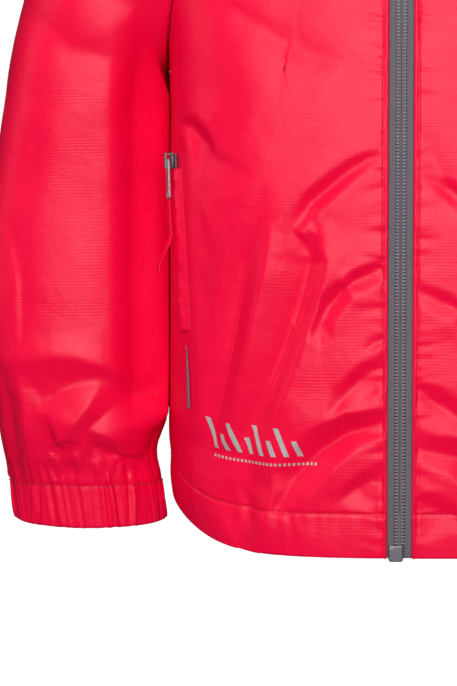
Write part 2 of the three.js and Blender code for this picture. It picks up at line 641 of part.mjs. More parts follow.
function frontSlider() {
  const plateBack = block(sliderSize.width, 1.2, sliderSize.height, 0, behind.coil + zip.coilWall + 1.2, 0);
  const face = sliderFace(sliderSize.width, sliderSize.height, sliderSize.plate);
  const front = face.translate(0, behind.tape - 0.35, 0);
  const reach = behind.coil + zip.coilWall + 1 - behind.tape + 0.4;
  const neckPost = block(sliderSize.neck, reach, 3.4, 0, behind.tape - 0.4 + reach / 2, 3.2);
  const arch = sliderBridge(sliderSize.plate).map((g) => g.translate(0, behind.tape - 0.35, 0));
  return placed(joined(front, plateBack, neckPost, ...arch), topPlace);
}
const frontAxis = new THREE.Vector3(0, behind.tape - 0.35 - sliderSize.plate - bridge.axisRise, 0)
  .applyAxisAngle(new THREE.Vector3(1, 0, 0), -topPlace.lean).add(topPlace.at);

// Pockets

// A point on a front panel by height and share of the half width, with its own directions
function pocketPlace(side, t, aside, out) {
  const height = mix(pocket.topHeight, pocket.endHeight, t);
  const share = mix(pocket.topShare, pocket.endShare, t);
  const spot = (s, h) => {
    const x = side * s * torsoAt("halfWidth", h);
    const p = torsoSurface(FRONT, x, h);
    const normal = torsoFacing(FRONT, x, h);
    return { at: p.addScaledVector(normal, torsoFolds(frontFolds[side], p)), normal };
  };
  const here = spot(share, height);
  const e = 0.5;
  const slopeShare = ((pocket.endShare - pocket.topShare) / (pocket.endHeight - pocket.topHeight)) * e;
  const above = spot(share + slopeShare, height + e).at;
  const up = above.sub(here.at).normalize();
  const across = up.clone().cross(here.normal).normalize();
  const normal = across.clone().cross(up).normalize();
  const at = here.at.clone().addScaledVector(across, aside).addScaledVector(normal, out);
  return { at, up, across, normal };
}

// A narrow strip along the pocket opening, laid over the panel's own points
function pocketStrip(side, from, to, widths, out, thick) {
  const rows = spread(cells.pocketRows, from, to);
  const lay = (extra) => rows.map((t) => widths(t).map((a) => pocketPlace(side, t, a, out + extra).at));
  return wall(lay(thick), lay(0), false);
}
const layer = { zip: 0.75, lip: 2.2 };
const pocketZip = (side) => {
  const w = pocketOpening.zipWidth / 2;
  return pocketStrip(side, 0, 1, () => [-w, 0, w], layer.zip, 1.1);
};
const pocketLip = (side) => {
  const widths = (t) => {
    const front = mix(pocketOpening.lipWidth / 2, -1.4, smooth((t - 0.7) / 0.3));
    return side < 0 ? [-front, 0.6, pocketOpening.lipWidth / 2] : [-pocketOpening.lipWidth / 2, -0.6, front];
  };
  return pocketStrip(side, 0.085, 0.985, widths, layer.lip, 1.1);
};

// The narrow stripe goes on in the line of the opening, as shares of its length
const stripeStrip = (side) => {
  const share = (t) => (t - stripe.from) / (stripe.to - stripe.from);
  const half = (t) => mix(stripe.topWidth, stripe.endWidth, share(t)) / 2;
  const middle = -side * stripe.forward;
  const widths = (t) => [middle - half(t), middle, middle + half(t)];
  return pocketStrip(side, stripe.from, stripe.to, widths, 0.45, stripe.wall);
};

// The frame of a pocket slider: x across, -y out of the cloth, z up along the zip
function pocketFrame(side) {
  const { at, up, across, normal } = pocketPlace(side, 0.035, 0, 0);
  const frame = new THREE.Group();
  const turn = new THREE.Matrix4().makeBasis(across, normal.clone().negate(), up);
  frame.quaternion.setFromRotationMatrix(turn);
  frame.position.copy(at);
  return frame;
}
const pocketSliderSize = { width: 6.2, height: 8.4, plate: 1.5, lift: layer.zip + 1.1 + 0.35 };
const pocketAxisRise = pocketSliderSize.lift + pocketSliderSize.plate + bridge.axisRise;
const pullSizes = { front: { length: 24, width: 6 }, pocket: { length: 21, width: 5.2 }, eye: 4.9 };
const tabSize = { length: 39, width: 5.2, thick: 1.2, flare: 7 };

function pocketSlider() {
  const { width, height, plate } = pocketSliderSize;
  const face = sliderFace(width, height, plate);
  return joined(face, ...sliderBridge(plate)).translate(0, -pocketSliderSize.lift, 0);
}

// The soft tape that hangs from the pull, bending away from the jacket at its end
function pullTape() {
  const start = -pullSizes.pocket.length - 0.4;
  const rows = spread(12, 0, 1);
  const lay = (y) => rows.map((t) => {
    const bend = -tabSize.flare * smooth((t - 0.45) / 0.55) - y;
    const z = start - tabSize.length * t;
    return [-tabSize.width / 2, tabSize.width / 2].map((x) => new THREE.Vector3(x, bend, z));
  });
  return wall(lay(tabSize.thick / 2), lay(-tabSize.thick / 2), false);
}

// Assembly

const finish = (name, color, roughness, metalness) =>
  new THREE.MeshStandardMaterial({ name, color, roughness, metalness });
const red = finish("shell", 0xf2184a, 0.42, 0);
const tapeGrey = finish("zip_tape", 0x6f6a72, 0.8, 0);
const coilGrey = finish("zip_coil", 0x77737b, 0.45, 0);
const gunmetal = finish("hardware", 0x8d9093, 0.35, 0.8);
const silver = finish("stripe", 0x9c99a0, 0.5, 0);

const jacket = new THREE.Group();
const heights = new THREE.Group();
heights.position.z = -shoulder.neckHeight;
jacket.add(heights);

function piece(name, geometry, material, parent = heights) {
  const mesh = new THREE.Mesh(geometry, material);
  mesh.name = name;
  parent.add(mesh);
  return mesh;
}

piece("back", backPanel(), red);
piece("collar", collarBand(), red);
piece("zip_coil", zipCoil(), coilGrey);
piece("zip_box", zipBox(), gunmetal);
piece("zip_slider", frontSlider(), gunmetal);
const frontPull = pullTab(pullSizes.front.length, pullSizes.front.width, pullSizes.eye);
piece("zip_pull", frontPull.rotateX(-topPlace.lean).translate(...frontAxis.toArray()), gunmetal);

for (const [side, word] of [[RIGHT, "right"], [LEFT, "left"]]) {
  piece(`front_${word}`, frontPanel(side), red);
  piece(`sleeve_${word}`, sleeveTube(side), red);
  piece(`cuff_${word}`, cuffTube(side), red);
  piece(`zip_tape_${word}`, zipTape(side), tapeGrey);
  piece(`pocket_zip_${word}`, pocketZip(side), coilGrey);
  piece(`pocket_lip_${word}`, pocketLip(side), red);
  piece(`stripe_${word}`, stripeStrip(side), silver);
  const frame = pocketFrame(side);
  heights.add(frame);
  piece(`pocket_slider_${word}`, pocketSlider(), gunmetal, frame);
  const pull = pullTab(pullSizes.pocket.length, pullSizes.pocket.width, pullSizes.eye);
  piece(`pocket_pull_${word}`, pull.translate(0, -pocketAxisRise, 0), gunmetal, frame);
  piece(`pocket_tab_${word}`, pullTape().translate(0, -pocketAxisRise, 0), red, frame);
}

export default jacket;
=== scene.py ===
import math

import bpy
import bmesh
import numpy as np
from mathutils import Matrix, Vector
from mathutils.geometry import delaunay_2d_cdt


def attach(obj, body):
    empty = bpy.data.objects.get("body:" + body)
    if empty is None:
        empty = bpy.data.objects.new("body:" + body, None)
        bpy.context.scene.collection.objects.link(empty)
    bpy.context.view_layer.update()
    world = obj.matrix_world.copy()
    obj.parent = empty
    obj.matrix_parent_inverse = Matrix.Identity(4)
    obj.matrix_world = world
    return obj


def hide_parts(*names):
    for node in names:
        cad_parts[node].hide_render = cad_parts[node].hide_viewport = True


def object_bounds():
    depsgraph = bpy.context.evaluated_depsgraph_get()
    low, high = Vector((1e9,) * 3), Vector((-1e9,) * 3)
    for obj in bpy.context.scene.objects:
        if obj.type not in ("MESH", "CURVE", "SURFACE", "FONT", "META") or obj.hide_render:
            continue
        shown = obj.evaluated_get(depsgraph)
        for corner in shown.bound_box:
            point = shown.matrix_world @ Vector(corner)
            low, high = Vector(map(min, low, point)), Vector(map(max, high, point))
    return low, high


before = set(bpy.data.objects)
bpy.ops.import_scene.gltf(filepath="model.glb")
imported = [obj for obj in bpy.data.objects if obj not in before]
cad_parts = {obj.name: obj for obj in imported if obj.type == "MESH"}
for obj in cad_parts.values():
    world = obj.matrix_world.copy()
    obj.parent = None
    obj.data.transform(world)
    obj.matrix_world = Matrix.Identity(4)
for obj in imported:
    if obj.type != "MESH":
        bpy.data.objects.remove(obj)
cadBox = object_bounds()
print("frame loaded:", len(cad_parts), "nodes")

# Form: sizes in millimetres, heights measured up from the lowest point of the hem.
# x is to the wearer's left, y to the back.
mm = 0.001
front, back = -1, 1
right, left = -1, 1
words = {right: "right", left: "left"}

cut = {
    "neckHalf": 54, "neckHeight": 430, "tipX": 140, "tipHeight": 395,
    "shoulderRound": 55, "shoulderFull": 2.2,
    "armholeFoot": 262, "armholeCut": 0.1, "armholeRise": 0.35, "armholeCurve": 1.4,
    "frontDrop": 60, "backDrop": 10, "neckRound": 2.6,
    "hemRise": 24, "hemCorner": 7, "zipHalf": 6.5,
    "casingTop": 32, "casingEnd": 10, "gathers": 38,
}
torso = {
    "height":    [0, 30, 62, 100, 180, 262, 310, 345, 368, 400, 432],
    "halfWidth": [122.5, 127, 128.6, 127.6, 126.8, 127, 134, 142, 148, 157, 166],
    "front":     [91, 93, 94, 95, 95, 92, 87, 78, 68, 53, 36],
    "back":      [80, 81, 82, 81, 81, 85, 86, 83, 76, 59, 40],
    "square":    [2.6, 2.65, 2.75, 3.0, 3.6, 3.7, 3.4, 3.2, 3.1, 3.0, 3.0],
}
sleeve = {
    "row":         [0, 1, 2, 3, 4, 5, 6, 7, 8, 9, 10],
    "innerX":      [129.2, 129.4, 129.4, 129.2, 129.2, 129.2, 129.2, 130.4, 134.6, 132.6, 130.6],
    "innerHeight": [257, 248, 236, 213, 178, 138, 103, 67, 49, 32, 10],
    "outerX":      [170, 197, 212, 219.5, 226, 228.5, 227.5, 223.5, 220.5, 216, 213],
    "outerHeight": [379, 334, 280, 231, 186, 142, 104, 68, 49, 32, 10],
    "midY":        [0, -3, -6, -9, -11, -13, -14, -15, -15, -15, -15],
    "halfDepth":   [62, 57, 52, 48, 45, 43, 42, 40, 35, 29, 27],
    "square":      [2.2, 2.2, 2.2, 2.2, 2.2, 2.2, 2.2, 2.1, 2.0, 1.9, 1.85],
}


def smooth(t):
    t = np.clip(t, 0, 1)
    return t * t * (3 - 2 * t)


def mix(a, b, t):
    return a + (b - a) * t


# A smooth curve through one column of a table, read against its key column
def readTable(table, key, column, at):
    keys = np.array(table[key], float)
    values = np.array(table[column], float)
    slopes = np.empty(len(keys))
    slopes[1:-1] = (values[2:] - values[:-2]) / (keys[2:] - keys[:-2])
    slopes[0] = (values[1] - values[0]) / (keys[1] - keys[0])
    slopes[-1] = (values[-1] - values[-2]) / (keys[-1] - keys[-2])
    i = np.clip(np.searchsorted(keys, at, "right") - 1, 0, len(keys) - 2)
    step = keys[i + 1] - keys[i]
    t = np.clip((at - keys[i]) / step, 0, 1)
    bend = slopes[i] * step * t * (1 - t) ** 2 - slopes[i + 1] * step * t * t * (1 - t)
    return mix(values[i], values[i + 1], smooth(t)) + bend


def torsoAt(column, height):
    return readTable(torso, "height", column, height)


def shoulderLine(x):
    fall = (cut["neckHeight"] - cut["tipHeight"]) / (cut["tipX"] - cut["neckHalf"])
    return cut["neckHeight"] - (np.abs(x) - cut["neckHalf"]) * fall


def topEdge(face, x):
    drop = cut["frontDrop"] if face == front else cut["backDrop"]
    share = np.clip(np.abs(x) / cut["neckHalf"], 0, 1)
    return np.where(share < 1, cut["neckHeight"] - drop * (1 - share ** cut["neckRound"]), shoulderLine(x))


def edgeShare(height):
    t = np.clip((height - cut["armholeFoot"]) / (cut["tipHeight"] - cut["armholeFoot"]), 0, 1)
    return 1 - cut["armholeCut"] * np.minimum(1, t / cut["armholeRise"]) ** cut["armholeCurve"]


def torsoSurface(face, x, height):
    square = torsoAt("square", height)
    share = np.clip(np.abs(x) / torsoAt("halfWidth", height), 0, 1)
    across = (1 - share**square) ** (1 / square)
    below = np.clip((shoulderLine(x) - height) / cut["shoulderRound"], 0, 1)
    over = (1 - (1 - below) ** cut["shoulderFull"]) ** (1 / cut["shoulderFull"])
    depth = torsoAt("front" if face == front else "back", height)
    return np.stack(np.broadcast_arrays(x, face * depth * across * over, height), -1).astype(float)


def columnX(start, u, height):
    square = torsoAt("square", height)
    halfWidth = torsoAt("halfWidth", height)
    low = np.arcsin((start / halfWidth) ** (square / 2))
    high = np.arcsin(edgeShare(height) ** (square / 2))
    return halfWidth * np.sin(mix(low, high, u)) ** (2 / square)


# Shares of a half panel's width that lie at given distances along the cloth at mid height
def columnShares(face, start, near, far, spacing):
    u = np.linspace(0, 1, 1500)
    points = torsoSurface(face, columnX(start, u, 150 + 0 * u), 150 + 0 * u)
    along = np.concatenate([[0], np.cumsum(np.linalg.norm(np.diff(points, axis=0), axis=1))])
    wanted = edgedSteps(near, far, along[-1], spacing)
    return np.interp(wanted, along, u)


# Distances from 0 to a whole length: given steps near both ends, even ones between
def edgedSteps(near, far, whole, spacing):
    low, high = near[-1], whole - far[-1]
    count = max(2, round((high - low) / spacing))
    even = np.linspace(low, high, count + 1)[1:-1]
    return np.concatenate([near, even, whole - np.array(far)[::-1]])


# Half a panel as rows from the hem to the top, columns from the middle to the side.
# The rows lie at set distances from the hem edge and from the top edge.
def halfPanel(face, start, columns, near, far, spacing):
    low = np.full(columns.shape, cut["armholeFoot"] - 60.0)
    high = np.full(columns.shape, cut["neckHeight"] + 2.0)
    for _ in range(40):
        mid = (low + high) / 2
        under = mid < topEdge(face, columnX(start, columns, mid))
        low = np.where(under, mid, low)
        high = np.where(under, high, mid)
    seatHeight = cut["hemRise"] / 2
    seat = columnX(start, columns, seatHeight) / torsoAt("halfWidth", seatHeight)
    bottom = cut["hemRise"] * np.abs(seat) ** cut["hemCorner"]
    fall = np.linspace(1, 0, 900)[:, None] ** 2.4
    height = low[None, :] - (low - bottom)[None, :] * fall
    points = torsoSurface(face, columnX(start, columns[None, :], height), height)
    steps = np.linalg.norm(np.diff(points, axis=0), axis=-1)
    along = np.concatenate([np.zeros((1, len(columns))), np.cumsum(steps, axis=0)])
    count = len(edgedSteps(near, far, along[-1].mean(), spacing))
    shares = np.linspace(0, 1, count - len(near) - len(far) + 2)[1:-1]
    rows = np.empty((count, len(columns)))
    for c in range(len(columns)):
        whole = along[-1, c]
        even = mix(near[-1], whole - far[-1], shares)
        wanted = np.concatenate([near, even, whole - np.array(far)[::-1]])
        rows[:, c] = np.interp(wanted, along[:, c], height[:, c])
    return torsoSurface(face, columnX(start, columns[None, :], rows), rows)


# The plain sleeve: u round it from the outer side through the front, v down it from the armhole
def sleeveSection(row, angle):
    def at(column):
        return readTable(sleeve, "row", column, row)

    power = 2 / at("square")
    outwards = np.sign(np.cos(angle)) * np.abs(np.cos(angle)) ** power
    forwards = np.sign(np.sin(angle)) * np.abs(np.sin(angle)) ** power
    x = mix(at("innerX"), at("outerX"), (1 + outwards) / 2)
    height = mix(at("innerHeight"), at("outerHeight"), (1 + outwards) / 2)
    return np.stack(np.broadcast_arrays(x, at("midY") - at("halfDepth") * forwards, height), -1)


def armholePoint(angle):
    middle = (cut["tipHeight"] + cut["armholeFoot"]) / 2
    height = middle + (cut["tipHeight"] - middle) * np.cos(angle)
    x = torsoAt("halfWidth", height) * edgeShare(height)
    forwards = torsoSurface(front, x, height)
    backwards = torsoSurface(back, x, height)
    return np.where((np.sin(angle) > 0)[..., None], forwards, backwards)


def sleeveTube(around, rows):
    angle = (2 * math.pi * around)[None, :] + 0 * rows[:, None]
    down = rows[:, None] + 0 * angle
    capShare = 0.12
    t = np.clip(down / capShare, 0, 1)[..., None]
    start = armholePoint(angle)
    bow = (np.sin(t[..., 0] * math.pi) * 2.5 * np.maximum(0, np.cos(angle)))[..., None] * np.array([1, 0, 1])
    cap = mix(start, sleeveSection(0 * down, angle), t) + bow
    tube = sleeveSection((down - capShare) / (1 - capShare) * 9, angle)
    return np.where((down < capShare)[..., None], cap, tube)


# The uneven wave of the elastic gathers, 0 in a groove and 1 on a crest
def gather(u):
    drift = 0.22 * np.sin(u * 2 * math.pi * 5) + 0.16 * np.sin(u * 2 * math.pi * 9 + 1)
    return 0.5 + 0.5 * np.cos(u * cut["gathers"] * 2 * math.pi + drift * 2)


# Folds: troughs (depth below 0) and ridges, each along a short path of (x, height) as seen from the front.
# A sharpness near 1 gives a crisp crease, near 2 a soft one. lean widens the flank to the left of the path.
def foldDepth(x, height, path, width, depth, sharp=1.7, lean=0.0):
    points = np.array(path, float)
    lengths = np.linalg.norm(np.diff(points, axis=0), axis=1)
    nearest = np.full(x.shape, 1e9)
    along = np.zeros(x.shape)
    turned = np.zeros(x.shape)
    done = 0.0
    for a, b, length in zip(points[:-1], points[1:], lengths):
        t = np.clip(((x - a[0]) * (b[0] - a[0]) + (height - a[1]) * (b[1] - a[1])) / length**2, 0, 1)
        distance = np.hypot(x - a[0] - t * (b[0] - a[0]), height - a[1] - t * (b[1] - a[1]))
        cross = (b[0] - a[0]) * (height - a[1]) - (b[1] - a[1]) * (x - a[0])
        closer = distance < nearest
        nearest = np.where(closer, distance, nearest)
        along = np.where(closer, (done + t * length) / lengths.sum(), along)
        turned = np.where(closer, np.sign(cross), turned)
        done += length
    taper = np.sin(np.clip(along, 0.03, 0.97) * math.pi) ** 0.6
    reach = width * (0.55 + 0.45 * taper) * (1 + lean * turned)
    return depth * taper * np.exp(-(np.hypot(nearest / reach, 0.12) ** sharp))


def allFolds(x, height, table):
    return sum(foldDepth(x, height, *row) for row in table)


# The height of the facets: flat triangles between the creases, their corners very slightly rounded.
# The creases are followed in steps of about facetStep.
facetStep = 4


def facetDepth(x, height, lines, rounded=0.9):
    spots = []
    for line in lines:
        for a, b in zip(line[:-1], line[1:]):
            steps = max(1, round(math.hypot(b[0] - a[0], b[1] - a[1]) / facetStep))
            spots += [mix(np.array(a, float), np.array(b, float), k / steps) for k in range(steps)]
        spots.append(np.array(line[-1], float))
    flat = [Vector((float(p[0]), float(p[1]))) for p in spots]
    places, _, triangles, origins, _, _ = delaunay_2d_cdt(flat, [], [], 0, 0.01)
    outs = [np.mean([spots[k][2] for k in origin]) for origin in origins]
    total = np.zeros(np.broadcast(x, height).shape)
    turns = np.linspace(0, 2 * math.pi, 7)[:-1]
    shifts = [(0.0, 0.0)] + [(rounded * math.cos(turn), rounded * math.sin(turn)) for turn in turns]
    for triangle in triangles:
        a, b, c = (np.array(places[k]) for k in triangle)
        heights = [outs[k] for k in triangle]
        whole = (b[0] - a[0]) * (c[1] - a[1]) - (c[0] - a[0]) * (b[1] - a[1])
        if abs(whole) < 0.02:
            continue
        low, high = np.minimum(np.minimum(a, b), c) - 2, np.maximum(np.maximum(a, b), c) + 2
        near = (x > low[0]) & (x < high[0]) & (height > low[1]) & (height < high[1])
        if not near.any():
            continue
        for dx, dh in shifts:
            px, ph = x[near] + dx - a[0], height[near] + dh - a[1]
            second = (px * (c[1] - a[1]) - ph * (c[0] - a[0])) / whole
            third = (ph * (b[0] - a[0]) - px * (b[1] - a[1])) / whole
            inside = (second >= 0) & (third >= 0) & (second + third < 1)
            value = heights[0] * (1 - second - third) + heights[1] * second + heights[2] * third
            total[near] += np.where(inside, value, 0) / len(shifts)
    return total


# Broad, shallow unevenness of hung cloth: a few slanted waves from a fixed seed
def unevenness(x, height, seed, size=1.0, waves=9):
    pick = np.random.default_rng(seed)
    total = np.zeros(np.broadcast(x, height).shape)
    for _ in range(waves):
        turn = pick.uniform(0, 2 * math.pi)
        length = pick.uniform(28, 90)
        phase = pick.uniform(0, 2 * math.pi)
        along = x * math.cos(turn) + height * math.sin(turn)
        total += pick.uniform(0.3, 1) * np.sin(along * 2 * math.pi / length + phase)
    return total * size / waves


# Each fold: path, width, depth, sharpness, and lean where it has one
frontFolds = {
    right: [
        ([(-50, 188), (-45, 176), (-38, 163)], 2.4, -1.0, 1.3),
        ([(-37, 187), (-46, 175), (-53, 161)], 2.4, -0.9, 1.3),
        ([(-8, 119), (-13, 116), (-20, 111)], 1.8, -1.0, 1.3),
        ([(-8, 95), (-13, 92), (-20, 87)], 1.8, -1.0, 1.3),
        ([(-108, 205), (-111, 165), (-107, 100)], 14, -2.6, 1.6, 0.45),
        ([(-106, 190), (-103, 181), (-102, 172)], 2.6, 0.9, 1.3),
        ([(-108, 166), (-106, 156), (-106, 148)], 2.4, 0.8, 1.3),
        ([(-88, 39), (-83, 29), (-80, 14)], 2.2, -1.2, 1.3),
        ([(-94, 40), (-91, 29), (-90, 12)], 2.4, -1.1, 1.3),
        ([(-30, 262), (-62, 274), (-96, 296)], 9, -2.8, 1.35),
        ([(-20, 306), (-52, 324), (-84, 354)], 9, -2.4, 1.35),
    ],
    left: [
        ([(9, 228), (20, 207), (34, 182)], 6, -1.6, 1.3),
        ([(9, 92), (18, 84), (30, 76)], 3, -1.5, 1.3),
        ([(108, 210), (110, 165), (105, 100)], 14, -2.6, 1.6, -0.45),
        ([(92, 40), (89, 28), (88, 12)], 2.4, -1.2, 1.3),
        ([(32, 262), (60, 276), (94, 298)], 9, -2.8, 1.35),
        ([(24, 308), (54, 326), (82, 354)], 9, -2.4, 1.35),
    ],
}
backFolds = [
    ([(-20, 330), (-58, 276), (-96, 236)], 11, -5.1, 1.35),
    ([(24, 326), (60, 272), (98, 228)], 11, -5.1, 1.35),
    ([(-96, 232), (-84, 160), (-62, 92), (-54, 40)], 10, -6.0, 1.35),
    ([(98, 220), (82, 150), (58, 84), (60, 36)], 10, -6.0, 1.35),
    ([(-36, 190), (-30, 120), (-44, 60)], 9, -3.6, 1.35),
    ([(16, 236), (12, 160), (24, 84)], 10, -3.9, 1.35),
    ([(-8, 130), (-14, 80), (-4, 34)], 8, 2.7, 1.35),
    ([(-110, 180), (-104, 130), (-108, 80)], 8, -3.6, 1.35),
    ([(110, 176), (106, 124), (110, 74)], 8, -3.6, 1.35),
    ([(-30, 60), (-22, 40), (-26, 16)], 3, -1.8, 1.35),
    ([(40, 58), (34, 38), (38, 10)], 3, -1.8, 1.35),
    ([(-70, 388), (-40, 372), (0, 366), (40, 372), (70, 388)], 9, -2.7, 1.35),
]
# The same, on the front half of the right sleeve
sleeveFolds = [
    ([(-166, 58), (-168, 46), (-170, 33)], 2.2, -1.6, 1.3),
    ([(-161, 47), (-161, 40), (-163, 33)], 1.8, -1.5, 1.3),
    ([(-156, 52), (-155, 43), (-156, 33)], 2.0, -1.4, 1.3),
    ([(-186, 50), (-184, 42), (-184, 33)], 2.0, -1.6, 1.3),
    ([(-178, 46), (-178, 40), (-177, 33)], 2.0, -1.4, 1.3),
    ([(-172, 50), (-173, 42), (-173, 33)], 1.7, -1.2, 1.3),
    ([(-189, 50), (-190, 42), (-189, 33)], 1.7, -1.3, 1.3),
    ([(-150, 44), (-149, 38), (-149, 33)], 1.8, -1.4, 1.3),
    ([(-214, 178), (-206, 146), (-206, 112)], 5, -1.6, 1.3, 0.5),
    ([(-196, 236), (-204, 190), (-212, 150)], 8, -1.2, 1.5),
    ([(-166, 250), (-172, 196), (-170, 150)], 9, -0.9, 1.6),
    ([(-206, 292), (-178, 270), (-146, 262)], 9, -2.4, 1.4),
    ([(-196, 330), (-170, 312), (-142, 290)], 9, -2.6, 1.4),
]
# Crisp facets on the right front: lines of (x, height, how far out), creased along every line.
# The left front takes them mirrored, shifted and shallower.
frontFacets = [
    [(-120, 248, 0), (-91, 248, 0), (-53, 248, 0), (-9, 248, 0)],
    [(-120, 233, 0), (-113, 228, -2.0), (-105, 221, -2.2), (-100, 213, -0.6)],
    [(-109, 235, 0.6), (-103, 229, 0.8), (-98, 219, 0.5)],
    [(-9, 222, 0.3), (-30, 212, 0.8), (-50, 196, 0.8), (-62, 181, 0.4)],
    [(-9, 218, -0.1), (-27, 207, -1.2), (-47, 190, -2.1), (-57, 175, -0.8)],
    [(-9, 213, 0.2), (-26, 200, 0.7), (-43, 185, 0.8), (-52, 174, 0.6)],
    [(-42, 171, 0.8), (-39, 159, 1.0), (-45, 132, 1.2), (-55, 103, 1.2), (-65, 78, 1.0), (-70, 58, 0.7),
     (-67, 35, 0.5)],
    [(-46, 169, -1.0), (-47, 158, -2.8), (-54, 132, -3.6), (-65, 103, -3.6), (-76, 77, -3.2),
     (-84, 58, -2.8), (-80, 39, -2.0), (-83, 19, -1.8), (-87, 2, -1.0)],
    [(-69, 175, 0.5), (-72, 154, 1.2), (-78, 131, 1.4), (-82, 109, 1.2), (-88, 84, 0.4), (-93, 62, -0.4)],
    [(-75, 177, -0.4), (-82, 158, -2.2), (-88, 131, -3.0), (-93, 105, -3.0), (-99, 78, -2.4),
     (-103, 55, -1.4)],
    [(-89, 191, 0.3), (-95, 158, 0.4), (-103, 126, 0.2), (-109, 93, 0), (-111, 65, 0)],
    [(-8, 81, 0.3), (-29, 79, 0.9), (-47, 70, 0.9), (-59, 57, 0.6)],
    [(-8, 73, -1.4), (-26, 68, -2.8), (-42, 58, -3.2), (-55, 44, -2.8), (-64, 29, -1.0)],
    [(-8, 65, 0.3), (-24, 58, 0.9), (-36, 48, 0.9), (-48, 35, 0.4)],
    [(-9, 161, 0.3), (-28, 154, 0.7), (-41, 141, 0.5)],
    [(-9, 156, -0.8), (-27, 147, -2.0), (-38, 135, -1.8), (-45, 123, -0.6)],
    [(-9, 148, 0.2), (-24, 139, 0.7), (-34, 128, 0.5)],
    [(-8, 111, 0.3), (-23, 104, 0.6), (-33, 93, 0.3)],
    [(-8, 105, -0.7), (-22, 96, -1.7), (-32, 84, -0.9)],
    [(-8, 52, 0.2), (-23, 46, 0.5), (-32, 36, 0.2)],
    [(-8, 46, -0.8), (-23, 38, -1.6), (-33, 30, -0.4)],
    [(-67, 35, 0.9), (-72, 18, 1.5), (-77, 1, 0.9)],
    [(-55, 27, 0.3), (-58, 15, 0.3), (-62, 1, 0.2)],
    [(-119, 190, 0), (-120, 157, 0), (-120, 124, 0), (-121, 91, 0), (-117, 59, 0), (-109, 38, 0),
     (-100, 21, 0), (-90, 7, 0)],
    [(-53, 223, 0), (-74, 202, 0.2)],
    [(-29, 175, 0.1), (-26, 123, 0.2), (-42, 112, 0.4), (-37, 93, 0.3)],
    [(-8, 21, 0.1), (-8, 2, 0), (-37, 1, 0)],
    [(-9, 192, 0), (-9, 173, 0.1)],
    [(-9, 134, 0), (-9, 120, 0)],
    [(-8, 94, 0), (-8, 88, 0.2)],
]
# The same at the right sleeve's lower end
sleeveFacets = [
    [(-223, 104, 0), (-207, 112, 0), (-184, 116, 0), (-163, 111, 0), (-147, 106, 0), (-134, 105, 0)],
    [(-215, 99, 0.6), (-207, 100, 1.0), (-197, 103, 1.6), (-189, 106, 2.0), (-174, 103, 2.2),
     (-164, 99, 1.9), (-156, 95, 1.2), (-145, 93, 0.5), (-133, 94, -0.5)],
    [(-189, 106, 2.0), (-199, 91, -1.4), (-200, 86, -1.8), (-196, 76, -1.4), (-192, 73, -0.6)],
    [(-196, 80, -2.0), (-190, 82, -3.0), (-182, 87, -3.3), (-174, 90, -3.2), (-161, 92, -2.6)],
    [(-161, 92, -2.6), (-164, 87, -0.8), (-170, 76, 1.6), (-177, 67, 2.4), (-181, 60, 1.8)],
    [(-192, 73, -0.6), (-190, 67, 0.6), (-186, 58, 1.4), (-181, 60, 1.8)],
    [(-161, 92, -2.6), (-150, 81, -2.8), (-139, 82, -2.8)],
    [(-139, 82, -2.8), (-155, 77, -2.6), (-162, 71, -2.2), (-170, 63, -1.4)],
    [(-139, 82, -2.8), (-142, 72, -0.6), (-145, 57, 1.6), (-150, 51, 2.0)],
    [(-170, 63, -1.4), (-164, 62, 0.6), (-155, 58, 1.8), (-150, 51, 2.0)],
    [(-170, 63, -1.4), (-166, 54, -1.8), (-161, 50, -2.4), (-151, 47, -1.8), (-150, 51, 2.0)],
    [(-170, 61, -1.6), (-175, 52, -0.2), (-177, 48, 0.8), (-173, 37, 0.4), (-171, 47, -0.2),
     (-166, 54, -1.8)],
    [(-162, 49, -1.9), (-167, 44, 0.5), (-170, 36, 0.2)],
    [(-155, 47, 0.3), (-158, 38, 0.4)],
    [(-181, 60, 1.8), (-180, 55, -1.0), (-181, 45, -1.4), (-183, 35, 0)],
    [(-177, 48, 0.8), (-179, 41, -0.6), (-177, 34, 0)],
    [(-193, 73, -0.4), (-194, 62, -2.0), (-194, 48, -1.4), (-195, 37, -0.2)],
    [(-193, 73, -0.4), (-190, 58, -2.2), (-189, 50, -1.2)],
    [(-190, 48, 0.8), (-186, 42, 0.6), (-185, 36, 0.2)],
    [(-209, 95, 0.4), (-207, 85, 1.6), (-204, 63, 2.0), (-202, 44, 1.4), (-198, 36, 0.3)],
    [(-202, 84, -0.6), (-200, 66, 0.4), (-198, 48, 0.2)],
    [(-218, 93, -1.0), (-215, 78, -1.8), (-212, 56, -1.6), (-209, 39, -0.6)],
    [(-134, 78, -1.5), (-134, 61, -1.0), (-138, 49, -1.4), (-142, 42, -2.0), (-138, 34, 0)],
    [(-214, 31, 0), (-204, 31, 0), (-187, 31, 0), (-170, 31, 0), (-153, 31, 0), (-133, 31, 0)],
]
print("form and folds ready")


# Meshes from grids of points
def faceDirections(points, closed):
    if closed:
        across = np.roll(points, -1, axis=1) - np.roll(points, 1, axis=1)
    else:
        across = np.gradient(points, axis=1)
    up = np.gradient(points, axis=0)
    normals = np.cross(across, up)
    return normals / np.maximum(np.linalg.norm(normals, axis=-1, keepdims=True), 1e-9)


# The directions of a grid, turned so that they face away from a middle point
def outwardFrom(points, middle, closed=False):
    normals = faceDirections(points, closed)
    facing = np.sum(normals * (points - middle), axis=-1).mean()
    return normals if facing > 0 else -normals


def toWorld(points):
    return (points - np.array([0, 0, cut["neckHeight"]])) * mm


